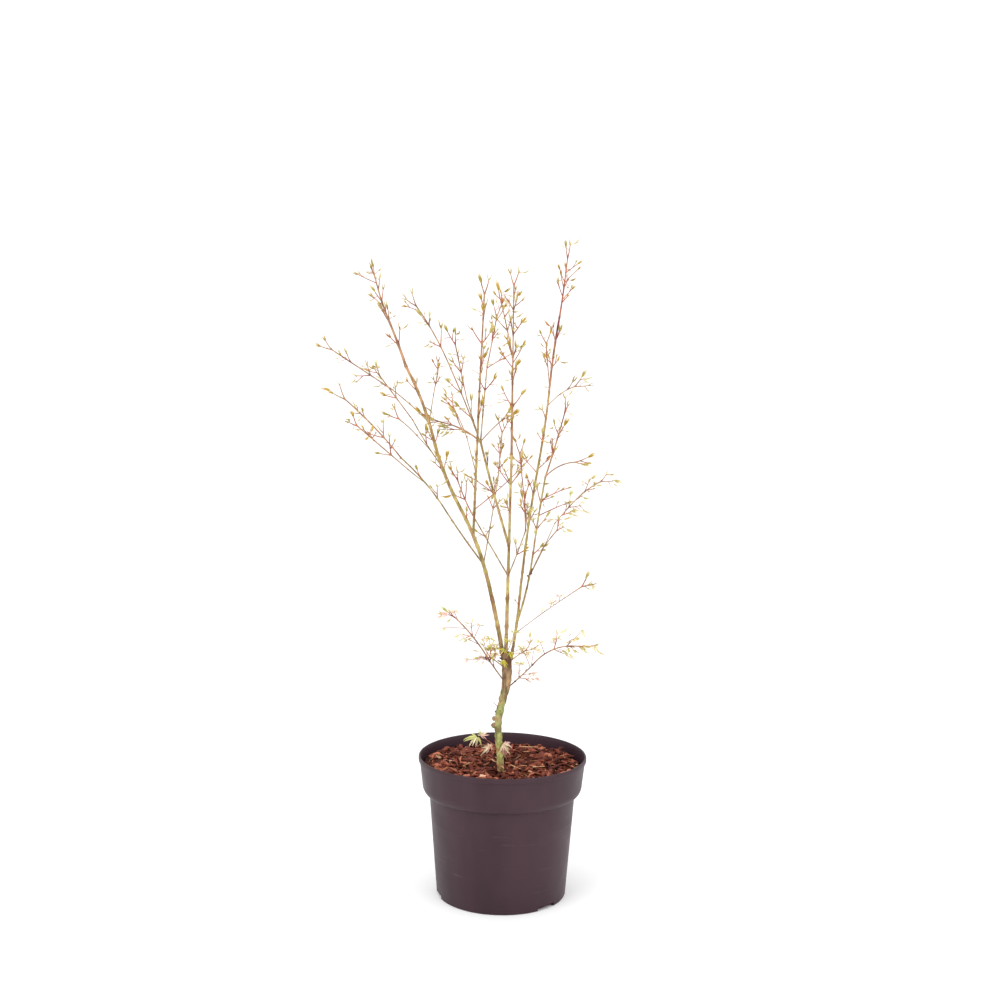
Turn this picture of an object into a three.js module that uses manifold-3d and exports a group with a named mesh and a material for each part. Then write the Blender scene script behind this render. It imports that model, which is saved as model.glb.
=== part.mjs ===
// A young japanese maple just coming into leaf, in a round nursery pot filled with bark compost.
// Millimetres, +Z up. The origin is the centre of the pot's flat underside, +X is right and -Y is the front.
import * as THREE from 'three';
import { mergeVertices } from 'three/addons/utils/BufferGeometryUtils.js';
import Module from 'manifold-3d';

const wasm = await Module();
wasm.setup();

// ---- Driving dimensions ----

const gap = 0.3; // clearance between neighbouring solids
const mergeDistance = 1e-3;

const pot = {
  height: 160,
  wall: 1.3,
  floor: 2.5,
  footRadius: 73.4,
  bodyTopRadius: 82.5, // where the tapered body meets the step under the band
  bodyTop: 117,
  bandFootRadius: 90.5,
  bandFoot: 128,
  bandTopRadius: 93.5,
  bandTop: 154,
  rimRadius: 95,
  corner: 1.5,
  sides: 32,
};

const drainNotch = { count: 3, first: -46, height: 4.5, width: 25 }; // at the foot, evenly round it

const bark = {
  patchRadius: 9, // level, under the trunk
  patchTop: 138,
  edgeTop: 145,
  mound: 4,
  roughness: 2.5,
  rings: 6,
  seed: 11,
};

const trunk = {
  foot: [-2, -5], // X and Y of its flat cut, which stands on the bark
  length: 141,
  toward: 0,
  leans: [0, -5, -5, 10, 15, 0, -10],
  girths: [4.6, 3.8, 3.7, 3.9, 4, 4.4, 5],
  sides: 10,
  steps: 16,
  rootLobes: 5,
  rootLobeDepth: 0.16,
  rootFlare: 0.14, // of the trunk's length
};

// Pruned stubs: how high on the trunk, bearing and radius. Each one's middle stands out from the trunk.
const knobStand = 1.5;
const knobs = [
  { at: 0.4, toward: 200, radius: 2.7 },
  { at: 0.45, toward: 160, radius: 2.3 },
];

const limbRule = {
  taperLength: 700, // a limb thins evenly, and would come to nothing after this
  step: 22,
  forkSpread: 0.65, // how far a fork's stems stand from its centre, of the parent's radius
  stoutGirth: 1.5, // a limb as stout as this has stoutSides, and a thinner one has sides
  stoutSides: 7,
  sides: 5,
};

const shoot = {
  spacing: 28, // between the nodes on a mass's stem
  length: 15,
  spread: 38, // degrees from the stem
  forkSpread: 24, // of the pair at a stem's tip
  lift: 12, // degrees that a shoot turns up
  girth: 0.42,
  tipGirth: 0.3,
  sides: 3,
};

const leaf = {
  spread: 32, // degrees from its shoot
  width: 0.36, // of its length, as are the next two
  thickness: 0.07,
  widest: 0.55,
  sink: 0.9, // of its root, into its shoot
};

// ---- The tree's limbs ----

// A bough springs from its parent at a share of the parent's length. It is so long, heads toward a bearing
// (0 is +X, 90 is +Y), leans so many degrees from upright, evenly along it, and starts at a radius.
function bough(name, from, at, length, toward, leans, girth) {
  return { name, from, at, length, toward, leans, girth };
}

const boughs = [
  bough('left_stem', 'trunk', 1, 340, 165, [10, 15, 30, 15, 30], 2.3),
  bough('middle_stem', 'trunk', 1, 230, -85, [10, 10], 2),
  bough('right_stem', 'trunk', 0.8, 420, 60, [25, 10, 15, 20, 10, 20], 1.9),
  bough('low_left_bough', 'trunk', 0.75, 40, -150, [40, 35], 0.9),
  bough('low_right_bough', 'trunk', 0.7, 50, -35, [50, 45], 0.8),
  bough('outer_left_bough', 'left_stem', 0.3, 160, -150, [40, 35, 50], 1),
  bough('outer_left_low_bough', 'outer_left_bough', 0.75, 30, -135, [60, 55], 0.6),
  bough('inner_back_bough', 'left_stem', 0.3, 105, 75, [35, 30], 0.7),
  bough('front_bough', 'left_stem', 0.4, 180, -85, [25, 25], 1.3),
  bough('inner_left_bough', 'front_bough', 0.45, 40, 175, [15, 15], 0.5),
  bough('far_left_bough', 'left_stem', 0.8, 65, 150, [50, 60], 0.7),
  bough('left_wisp_bough', 'left_stem', 0.8, 40, -75, [35, 35], 0.5),
  bough('back_left_bough', 'left_stem', 0.65, 70, 135, [50, 40], 0.7),
  bough('back_left_low_bough', 'back_left_bough', 0.35, 25, -150, [45, 45], 0.5),
  bough('crossing_bough', 'middle_stem', 0.4, 90, 125, [50, 50], 0.8),
  bough('leaning_bough', 'middle_stem', 0.4, 70, -65, [40, 35], 0.7),
  bough('fan_bough', 'middle_stem', 0.55, 125, 125, [30, 25], 1.3),
  bough('fan_left_bough', 'fan_bough', 1, 90, 145, [25, 30], 0.8),
  bough('fan_middle_bough', 'fan_bough', 1, 50, -150, [20, 20], 0.6),
  bough('fan_right_bough', 'fan_bough', 1, 105, 85, [35, 40], 0.8),
  bough('right_low_bough', 'right_stem', 0.4, 50, 100, [35, 35], 0.6),
  bough('right_inner_bough', 'right_stem', 0.8, 20, 95, [45, 40], 0.5),
  bough('right_side_bough', 'right_stem', 0.75, 20, -20, [45, 50], 0.5),
  bough('right_arm_bough', 'right_stem', 0.1, 70, 20, [55, 60], 0.5),
  bough('outer_right_stem', 'right_stem', 0.15, 185, -65, [35, 15, 20], 1.3),
  bough('arching_bough', 'outer_right_stem', 0.35, 70, -35, [30, 25], 0.5),
  bough('arching_low_bough', 'outer_right_stem', 0.35, 40, -50, [30, 35], 0.5),
];

// A mass's stem carries on from the tip of its bough, or springs from the trunk, and reaches so far with its
// shoots. Its leaves are so long.
function mass(name, from, length, toward, leans, leafLength, more = {}) {
  return { name, from, at: 1, length, toward, leans, leafLength, branches: [], ...more };
}

const masses = [
  mass('left_crown', 'left_stem', 120, 160, [20, 25, 15], 8),
  mass('middle_crown', 'middle_stem', 120, -90, [10, 10], 9, {
    branches: [
      { at: 1, length: 95, toward: -90, leans: [20, 20] },
      { at: 1, length: 80, toward: 115, leans: [25, 30] },
    ],
  }),
  mass('right_crown', 'right_stem', 85, 55, [15, 10], 8),
  mass('front_crown', 'front_bough', 120, -80, [15, 15], 9),
  mass('outer_left_spray', 'outer_left_bough', 105, -155, [40, 50], 8),
  mass('outer_left_low_spray', 'outer_left_low_bough', 100, -135, [55, 55], 8),
  mass('inner_back_spray', 'inner_back_bough', 75, 80, [25, 25], 9),
  mass('inner_left_spray', 'inner_left_bough', 50, 175, [20, 30], 9),
  mass('far_left_spray', 'far_left_bough', 100, 160, [60, 60], 8),
  mass('left_wisp_spray', 'left_wisp_bough', 45, -75, [40, 40], 8),
  mass('back_left_spray', 'back_left_bough', 85, 145, [45, 45], 9),
  mass('back_left_low_spray', 'back_left_low_bough', 45, -150, [45, 55], 9),
  mass('crossing_spray', 'crossing_bough', 65, 130, [45, 30], 9),
  mass('leaning_spray', 'leaning_bough', 60, -95, [25, 30], 10),
  mass('fan_left_spray', 'fan_left_bough', 105, 140, [30, 45], 9),
  mass('fan_middle_spray', 'fan_middle_bough', 80, -125, [20, 20], 9),
  mass('fan_arms_spray', 'fan_bough', 65, 170, [50, 80], 10, {
    branches: [{ at: 0, length: 50, toward: 10, leans: [40, 50] }],
  }),
  mass('fan_right_spray', 'fan_right_bough', 80, 70, [30, 25], 9),
  mass('right_low_spray', 'right_low_bough', 65, 100, [35, 30], 10),
  mass('right_inner_spray', 'right_inner_bough', 60, 95, [40, 35], 8),
  mass('right_side_spray', 'right_side_bough', 35, -20, [55, 70], 9),
  mass('right_arm_spray', 'right_arm_bough', 40, 20, [60, 60], 11),
  mass('outer_right_spray', 'outer_right_stem', 95, -60, [30, 25], 10, {
    branches: [{ at: 0, length: 55, toward: 25, leans: [45, 90] }],
  }),
  mass('arching_spray', 'arching_bough', 90, 30, [45, 50, 70], 12),
  mass('arching_low_spray', 'arching_low_bough', 50, -55, [45, 50], 12),
  mass('fork_left_spray', 'trunk', 40, -175, [40, 60], 13, { at: 0.85, girth: 0.6 }),
  mass('fork_right_spray', 'trunk', 45, -25, [40, 60], 13, { at: 0.9, girth: 0.6 }),
  mass('foot_spray', 'trunk', 40, -165, [60, 85], 20, { at: 0.2, girth: 0.8 }),
  mass('low_left_spray', 'low_left_bough', 85, -140, [35, 50], 14),
  mass('low_right_spray', 'low_right_bough', 85, -35, [40, 90], 14),
];

// ---- Directions, chance and centre lines ----

const { degToRad, radToDeg, lerp } = THREE.MathUtils;

// The direction that leans so far from upright toward a bearing.
function heading(lean, toward) {
  const [tilt, turn] = [degToRad(lean), degToRad(toward)];
  return new THREE.Vector3(Math.sin(tilt) * Math.cos(turn), Math.sin(tilt) * Math.sin(turn), Math.cos(tilt));
}

// The value at a share of the way along a list of evenly spaced values.
function valueAt(values, share) {
  const place = share * (values.length - 1);
  const before = Math.min(Math.floor(place), values.length - 2);
  return lerp(values[before], values[before + 1], place - before);
}

// Park and Miller's generator, which gives the same numbers everywhere.
function seededRandom(seed) {
  const [multiplier, modulus] = [16807, 2147483647];
  let state = seed * multiplier;
  return () => {
    state = (state * multiplier) % modulus;
    return state / modulus;
  };
}

// A limb with its centre line walked in even steps from its start.
function makeLimb(spec) {
  const steps = spec.steps ?? Math.max(1, Math.round(spec.length / limbRule.step));
  const points = [spec.start.clone()];
  for (let step = 0; step < steps; step++) {
    const stride = heading(valueAt(spec.leans, (step + 0.5) / steps), spec.toward);
    points.push(points[step].clone().addScaledVector(stride, spec.length / steps));
  }
  return { ...spec, steps, points };
}

function pointAt(limb, share) {
  const place = share * limb.steps;
  const before = Math.min(Math.floor(place), limb.steps - 1);
  return limb.points[before].clone().lerp(limb.points[before + 1], place - before);
}

const directionAt = (limb, share) => heading(valueAt(limb.leans, share), limb.toward);

// A direction turned so far from a limb's own, to the side that `around` gives.
function turnedFrom(limb, share, spread, around) {
  const along = directionAt(limb, share);
  const side = heading(90, limb.toward + 90);
  const up = new THREE.Vector3().crossVectors(along, side);
  const [turn, tilt] = [degToRad(around), degToRad(spread)];
  const outward = side.multiplyScalar(Math.cos(turn)).addScaledVector(up, Math.sin(turn));
  return along.multiplyScalar(Math.cos(tilt)).addScaledVector(outward, Math.sin(tilt));
}

// ---- Solids ----

function solidFromArrays(numbers, triangles) {
  const [vertProperties, triVerts] = [new Float32Array(numbers), new Uint32Array(triangles)];
  return new wasm.Manifold(new wasm.Mesh({ numProp: 3, vertProperties, triVerts }));
}

function solidFrom(points, triangles) {
  return solidFromArrays(points.flatMap((point) => point.toArray()), triangles);
}

function solidFromGeometry(geometry) {
  geometry.deleteAttribute('normal');
  geometry.deleteAttribute('uv');
  const merged = mergeVertices(geometry, mergeDistance);
  return solidFromArrays(merged.attributes.position.array, merged.index.array);
}

// A closed solid through rings of points, each ring turning anticlockwise as seen from the last one's end.
function loft(rings) {
  const sides = rings[0].length;
  const last = (rings.length - 1) * sides;
  const triangles = [];
  for (let ring = 0; ring < rings.length - 1; ring++) {
    for (let side = 0; side < sides; side++) {
      const near = ring * sides + side;
      const next = ring * sides + ((side + 1) % sides);
      triangles.push(near, next, next + sides, near, next + sides, near + sides);
    }
  }
  for (let side = 1; side < sides - 1; side++) {
    triangles.push(0, side + 1, side, last, last + side, last + side + 1);
  }
  return solidFrom(rings.flat(), triangles);
}

// A ring of a limb. `extra` makes it wider, `shift` moves it along.
function limbRing(limb, share, extra = 0, shift = 0) {
  const centre = pointAt(limb, share).addScaledVector(directionAt(limb, share), shift);
  return Array.from({ length: limb.sides }, (_, side) => {
    const around = (360 * side) / limb.sides;
    const radius = valueAt(limb.girths, share) * (limb.lobe?.(share, around) ?? 1) + extra;
    return turnedFrom(limb, share, 90, around).multiplyScalar(radius).add(centre);
  });
}

const sharesOf = (limb) => Array.from({ length: limb.steps + 1 }, (_, step) => step / limb.steps);

const limbSolid = (limb) => loft(sharesOf(limb).map((share) => limbRing(limb, share)));

// The limb grown by the gap all over, to cut its neighbours back with.
function clearanceSolid(limb) {
  const extra = gap / Math.cos(Math.PI / limb.sides);
  const rings = sharesOf(limb).map((share) => limbRing(limb, share, extra));
  return loft([limbRing(limb, 0, extra, -gap), ...rings, limbRing(limb, 1, extra, gap)]);
}

// A leaf is a lozenge of eight faces.
function leafSolid({ root, direction, across, length }) {
  const normal = new THREE.Vector3().crossVectors(direction, across);
  const middle = root.clone().addScaledVector(direction, length * leaf.widest);
  const edge = (side, size) => middle.clone().addScaledVector(side, (size * length) / 2);
  const rim = [
    edge(across, leaf.width),
    edge(normal, -leaf.thickness),
    edge(across, -leaf.width),
    edge(normal, leaf.thickness),
  ];
  const tip = root.clone().addScaledVector(direction, length);
  const [rootIndex, tipIndex] = [4, 5];
  const faces = rim.flatMap((_, side) => {
    const next = (side + 1) % rim.length;
    return [rootIndex, side, next, tipIndex, next, side];
  });
  return solidFrom([...rim, root, tip], faces);
}

// The biggest body of a solid, without the scraps that a cut left.
function largestBody(solid) {
  return solid.decompose().reduce((largest, body) => (body.volume() > largest.volume() ? body : largest));
}

// ---- Growth ----

// The straight pieces that a new twig or leaf keeps clear of, each with its radius and node.
const occupied = [];

function occupy(node, from, to, radius) {
  occupied.push({ node, line: new THREE.Line3(from, to), radius });
}

function occupyLimb(node, limb) {
  for (let step = 0; step < limb.steps; step++) {
    occupy(node, limb.points[step], limb.points[step + 1], valueAt(limb.girths, step / limb.steps));
  }
}

function isClear(node, from, to, radius) {
  const line = new THREE.Line3(from, to);
  return occupied.every((piece) => {
    const room = radius + piece.radius + gap;
    return piece.node === node || line.distanceSqToLine3(piece.line) > room * room;
  });
}

// Pairs of shoots at a stem's nodes, each pair turned a quarter from the last, and a fork at its tip.
function growShoots(stem, random) {
  const nodes = Math.max(1, Math.round(stem.length / shoot.spacing));
  const shoots = [];
  for (let node = 1; node <= nodes; node++) {
    const share = node / nodes;
    for (const side of [0, 180]) {
      const spread = lerp(shoot.spread, shoot.forkSpread, Math.floor(share)) * lerp(0.8, 1.2, random());
      const around = 90 * node + side + stem.twist + lerp(-25, 25, random());
      const direction = turnedFrom(stem, share, spread, around);
      const lean = radToDeg(Math.acos(direction.z));
      shoots.push(
        makeLimb({
          start: pointAt(stem, share),
          length: shoot.length * lerp(1.2, 0.8, share) * lerp(0.7, 1.3, random()),
          toward: radToDeg(Math.atan2(direction.y, direction.x)),
          leans: [lean, lean - shoot.lift],
          girths: [shoot.girth, shoot.tipGirth],
          sides: shoot.sides,
        }),
      );
    }
  }
  return shoots;
}

// The pair of leaves at a shoot's tip.
function growLeaves(twig, length, random) {
  const turn = lerp(0, 180, random());
  return [0, 180].map((side) => {
    const across = turnedFrom(twig, 1, 90, turn + side + 90);
    const direction = turnedFrom(twig, 1, leaf.spread * lerp(0.7, 1.3, random()), turn + side);
    const root = pointAt(twig, 1).addScaledVector(directionAt(twig, 1), -leaf.sink);
    return { root, direction, across, length: length * lerp(0.75, 1.25, random()) };
  });
}

const leafTip = ({ root, direction, length }) => root.clone().addScaledVector(direction, length);

// A mass's twigs and leaves, as solids. Those that would leave its space or touch another node are skipped.
function growMass({ name, stems, leafLength, seed }) {
  const random = seededRandom(seed);
  const solids = stems.map(limbSolid);
  const reach = shoot.length * 1.6 + leafLength;
  const fits = (from, to, radius) => {
    const nearest = Math.min(...stems.flatMap((stem) => stem.points.map((point) => point.distanceTo(to))));
    return nearest < reach && isClear(name, from, to, radius);
  };
  for (const twig of stems.flatMap((stem) => growShoots(stem, random))) {
    const leaves = growLeaves(twig, leafLength, random);
    if (!fits(twig.points[0], twig.points.at(-1), shoot.girth)) continue;
    solids.push(limbSolid(twig));
    occupyLimb(name, twig);
    for (const blade of leaves) {
      const width = (blade.length * leaf.width) / 2;
      if (!fits(blade.root, leafTip(blade), width)) continue;
      solids.push(leafSolid(blade));
      occupy(name, blade.root, leafTip(blade), width);
    }
  }
  return solids.reduce((whole, piece) => whole.add(piece));
}

// ---- The tree ----

const foot = new THREE.Vector3(...trunk.foot, bark.patchTop + gap);

// The root flare swells the trunk's foot into lobes that die away upward.
function rootLobe(share, around) {
  const swell = Math.max(0, 1 - share / trunk.rootFlare);
  return 1 + trunk.rootLobeDepth * swell * Math.cos(degToRad(trunk.rootLobes * around));
}

const limbs = new Map([['trunk', makeLimb({ ...trunk, start: foot, lobe: rootLobe })]]);
const cutters = new Map(); // for each limb, the limbs that it is cut clear of

for (const spec of boughs) {
  const parent = limbs.get(spec.from);
  const aside = spec.at === 1 ? valueAt(parent.girths, 1) * limbRule.forkSpread : 0;
  const start = pointAt(parent, spec.at).addScaledVector(heading(90, spec.toward), aside);
  const girths = [spec.girth, spec.girth * (1 - spec.length / limbRule.taperLength)];
  const siblings = boughs.filter((other) => other.from === spec.from && limbs.has(other.name));
  cutters.set(spec.name, [parent, ...siblings.map((other) => limbs.get(other.name))]);
  const sides = spec.girth > limbRule.stoutGirth ? limbRule.stoutSides : limbRule.sides;
  limbs.set(spec.name, makeLimb({ ...spec, start, girths, sides }));
}

// A mass's stems: the one that meets its bough, and any that branch from it.
function stemsOf(spec) {
  const parent = limbs.get(spec.from);
  const girths = [spec.girth ?? valueAt(parent.girths, 1), shoot.girth];
  const stem = (sizes) => makeLimb({ ...sizes, length: sizes.length - shoot.length, sides: shoot.sides });
  const main = stem({ ...spec, start: pointAt(parent, spec.at), girths, twist: 0 });
  const branches = spec.branches.map((branch) =>
    stem({ ...branch, start: pointAt(main, branch.at), girths: [shoot.girth, shoot.girth], twist: 45 }),
  );
  return [main, ...branches];
}

for (const [name, limb] of limbs) occupyLimb(name, limb);
const grownMasses = masses.map((spec, index) => ({ ...spec, stems: stemsOf(spec), seed: index + 1 }));
for (const { name, stems } of grownMasses) stems.forEach((stem) => occupyLimb(name, stem));

const cutClear = (solid, neighbours) =>
  largestBody(neighbours.reduce((left, neighbour) => left.subtract(clearanceSolid(neighbour)), solid));

function trunkSolid() {
  const stem = limbs.get('trunk');
  return knobs.reduce((whole, { at, toward, radius }) => {
    const reach = valueAt(trunk.girths, at) + knobStand;
    const centre = pointAt(stem, at).addScaledVector(heading(90, toward), reach);
    const knob = new THREE.IcosahedronGeometry(radius).translate(...centre.toArray());
    return whole.add(solidFromGeometry(knob));
  }, limbSolid(stem));
}

// ---- The pot and the bark ----

// The pot's outside from the body's top out to the band's foot is a quarter of an ellipse.
function shoulder(turn, inset) {
  const radius = lerp(pot.bodyTopRadius, pot.bandFootRadius, Math.sin(degToRad(turn))) - inset;
  return [radius, lerp(pot.bandFoot, pot.bodyTop, Math.cos(degToRad(turn)))];
}

function potSolid() {
  const { height, wall, corner, rimRadius } = pot;
  const outside = [
    [0, 0],
    [pot.footRadius - corner, 0],
    [pot.footRadius, corner],
    ...[0, 30, 60, 90].map((turn) => shoulder(turn, 0)),
    [pot.bandTopRadius, pot.bandTop],
    [rimRadius, pot.bandTop + corner],
    [rimRadius, height - corner / 2],
    [rimRadius - corner / 2, height],
  ];
  const inside = [
    [rimRadius - wall - corner / 2, height],
    [pot.bandTopRadius - wall, pot.bandTop],
    ...[90, 45, 0].map((turn) => shoulder(turn, wall)),
    [pot.footRadius - wall, pot.floor],
    [0, pot.floor],
  ];
  const profile = [...outside, ...inside].map(([radius, z]) => new THREE.Vector2(radius, z));
  const turned = new THREE.LatheGeometry(profile, pot.sides).rotateX(Math.PI / 2);
  return drainNotches().reduce((left, notch) => left.subtract(notch), solidFromGeometry(turned));
}

function drainNotches() {
  const { count, first, height, width } = drainNotch;
  return Array.from({ length: count }, (_, index) => {
    const turn = degToRad(first + (360 * index) / count);
    const notch = new THREE.BoxGeometry(width / 2, width, 2 * height);
    return solidFromGeometry(notch.translate(pot.footRadius, 0, 0).rotateZ(turn));
  });
}

// The bark fills the pot. Its top is rough, higher on the left, and level under the trunk.
function barkSolid() {
  const random = seededRandom(bark.seed);
  const inset = pot.wall + 2 * gap;
  const ring = (radius, heightAt, centre = [0, 0]) =>
    Array.from({ length: pot.sides }, (_, side) => {
      const turn = (2 * Math.PI * side) / pot.sides;
      const [x, y] = [centre[0] + radius * Math.cos(turn), centre[1] + radius * Math.sin(turn)];
      return new THREE.Vector3(x, y, heightAt(x / pot.rimRadius));
    });
  const wallFoot = [pot.footRadius - inset, pot.floor + gap];
  const wall = [wallFoot, ...[0, 45, 90].map((turn) => shoulder(turn, inset))];
  const rings = wall.map(([radius, z]) => ring(radius, () => z));
  const edgeFoot = bark.edgeTop - bark.mound - bark.roughness; // the lowest point of its edge
  const upBand = (edgeFoot - pot.bandFoot) / (pot.bandTop - pot.bandFoot);
  const edgeRadius = lerp(pot.bandFootRadius, pot.bandTopRadius, upBand) - inset;
  for (let step = 0; step < bark.rings; step++) {
    const inward = step / bark.rings;
    const slope = bark.mound * (1 - inward);
    const top = (acrossPot) => bark.edgeTop - slope * acrossPot + bark.roughness * lerp(-1, 1, random());
    const centre = trunk.foot.map((place) => place * inward);
    rings.push(ring(lerp(edgeRadius, bark.patchRadius, inward), top, centre));
  }
  rings.push(ring(bark.patchRadius, () => bark.patchTop, trunk.foot));
  return loft(rings);
}

// ---- The parts ----

const plastic = new THREE.MeshStandardMaterial({ color: '#50424a', roughness: 0.5 });
const compost = new THREE.MeshStandardMaterial({ color: '#6b3a2c', roughness: 0.95 });
const trunkBark = new THREE.MeshStandardMaterial({ color: '#99935f', roughness: 0.8 });
const boughBark = new THREE.MeshStandardMaterial({ color: '#b19c62', roughness: 0.7 });
const foliage = new THREE.MeshStandardMaterial({ color: '#c9b95c', roughness: 0.6 });

const potted = new THREE.Group();

function addPart(name, solid, material) {
  const { vertProperties, triVerts } = solid.getMesh();
  const geometry = new THREE.BufferGeometry();
  geometry.setAttribute('position', new THREE.BufferAttribute(vertProperties, 3));
  geometry.setIndex(new THREE.BufferAttribute(triVerts, 1));
  geometry.computeVertexNormals();
  const mesh = new THREE.Mesh(geometry, material);
  mesh.name = name;
  potted.add(mesh);
}

addPart('pot', potSolid(), plastic);
addPart('bark_fill', barkSolid(), compost);
addPart('trunk', trunkSolid(), trunkBark);
for (const { name } of boughs) {
  addPart(name, cutClear(limbSolid(limbs.get(name)), cutters.get(name)), boughBark);
}
for (const grown of grownMasses) {
  const siblings = boughs.filter((other) => other.from === grown.from && other.at === grown.at);
  const neighbours = [grown.from, ...siblings.map((other) => other.name)].map((name) => limbs.get(name));
  addPart(grown.name, cutClear(growMass(grown), neighbours), foliage);
}

export default potted;
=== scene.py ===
"""The look of a young japanese maple coming into leaf, in a round nursery pot of bark compost.

The tree grows by the rule of the part's source, in millimetres, and its meshes are made in metres.
The origin is the centre of the pot's flat underside, +Z is up and -Y is the front.
"""

import math

import bmesh
import bpy
from mathutils import Euler, Matrix, Vector, kdtree, noise


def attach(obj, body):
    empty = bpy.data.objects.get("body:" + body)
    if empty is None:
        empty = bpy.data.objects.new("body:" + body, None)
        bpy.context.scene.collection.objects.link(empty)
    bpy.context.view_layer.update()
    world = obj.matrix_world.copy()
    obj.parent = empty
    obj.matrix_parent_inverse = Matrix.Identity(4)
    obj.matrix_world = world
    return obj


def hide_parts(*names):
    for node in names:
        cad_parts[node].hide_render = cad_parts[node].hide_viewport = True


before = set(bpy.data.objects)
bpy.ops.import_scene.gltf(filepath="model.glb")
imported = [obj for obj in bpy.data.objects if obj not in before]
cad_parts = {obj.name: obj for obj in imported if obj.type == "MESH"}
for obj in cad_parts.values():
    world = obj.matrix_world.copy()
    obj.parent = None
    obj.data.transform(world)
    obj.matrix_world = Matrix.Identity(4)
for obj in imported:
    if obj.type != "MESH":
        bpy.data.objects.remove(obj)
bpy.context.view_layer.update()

MM = 0.001

# ---- The source's driving values, in millimetres and degrees ----

POT = {"height": 160, "wall": 1.3, "floor": 2.5, "foot_radius": 73.4, "rim_radius": 95, "corner": 1.5}
POT |= {"body_top_radius": 82.5, "body_top": 117, "band_foot_radius": 90.5, "band_foot": 128}
POT |= {"band_top_radius": 93.5, "band_top": 154}
NOTCH = {"count": 3, "first": -46, "height": 4.5, "width": 25}
BARK_PATCH_TOP = 138.3

TRUNK = {
    "foot": (-2, -5),
    "length": 141,
    "toward": 0,
    "leans": [0, -5, -5, 10, 15, 0, -10],
    "girths": [3.7, 3.5, 3.7, 3.8, 4.2, 5.2, 5.6],
    "root_lobes": 5,
    "root_lobe_depth": 0.12,
    "root_flare": 0.14,
}
KNOBS = [(0.4, 200, 2.7), (0.45, 160, 2.3)]  # how high on the trunk, bearing and radius
KNOB_STAND = 1.5  # how far a knob's middle stands out from the trunk

TAPER_LENGTH = 700
FORK_SPREAD = 0.65

SHOOT = {
    "spacing": 28,
    "length": 15,
    "spread": 38,
    "fork_spread": 24,
    "lift": 12,
    "girth": 0.42,
    "tip_girth": 0.3,
}
LEAF_SPREAD = 32

# A bough: its parent and how far along it, then length, bearing, leans and starting radius.
BOUGHS = {
    "left_stem": ("trunk", 1, 340, 165, [10, 15, 30, 15, 30], 2.3),
    "middle_stem": ("trunk", 1, 230, -85, [10, 10], 2),
    "right_stem": ("trunk", 0.8, 420, 60, [25, 10, 15, 20, 10, 20], 1.9),
    "low_left_bough": ("trunk", 0.75, 40, -150, [40, 35], 0.9),
    "low_right_bough": ("trunk", 0.7, 50, -35, [50, 45], 0.8),
    "outer_left_bough": ("left_stem", 0.3, 160, -150, [40, 35, 50], 1),
    "outer_left_low_bough": ("outer_left_bough", 0.75, 30, -135, [60, 55], 0.6),
    "inner_back_bough": ("left_stem", 0.3, 105, 75, [35, 30], 0.7),
    "front_bough": ("left_stem", 0.4, 180, -85, [25, 25], 1.3),
    "inner_left_bough": ("front_bough", 0.45, 40, 175, [15, 15], 0.5),
    "far_left_bough": ("left_stem", 0.8, 65, 150, [50, 60], 0.7),
    "left_wisp_bough": ("left_stem", 0.8, 40, -75, [35, 35], 0.5),
    "back_left_bough": ("left_stem", 0.65, 70, 135, [50, 40], 0.7),
    "back_left_low_bough": ("back_left_bough", 0.35, 25, -150, [45, 45], 0.5),
    "crossing_bough": ("middle_stem", 0.4, 90, 125, [50, 50], 0.8),
    "leaning_bough": ("middle_stem", 0.4, 70, -65, [40, 35], 0.7),
    "fan_bough": ("middle_stem", 0.55, 125, 125, [30, 25], 1.3),
    "fan_left_bough": ("fan_bough", 1, 90, 145, [25, 30], 0.8),
    "fan_middle_bough": ("fan_bough", 1, 50, -150, [20, 20], 0.6),
    "fan_right_bough": ("fan_bough", 1, 105, 85, [35, 40], 0.8),
    "right_low_bough": ("right_stem", 0.4, 50, 100, [35, 35], 0.6),
    "right_inner_bough": ("right_stem", 0.8, 20, 95, [45, 40], 0.5),
    "right_side_bough": ("right_stem", 0.75, 20, -20, [45, 50], 0.5),
    "right_arm_bough": ("right_stem", 0.12, 70, 20, [55, 60], 0.5),
    "outer_right_stem": ("right_stem", 0.15, 185, -65, [35, 15, 20], 1.3),
    "arching_bough": ("outer_right_stem", 0.35, 70, -35, [30, 25], 0.5),
    "arching_low_bough": ("outer_right_stem", 0.35, 40, -50, [30, 35], 0.5),
}

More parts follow.
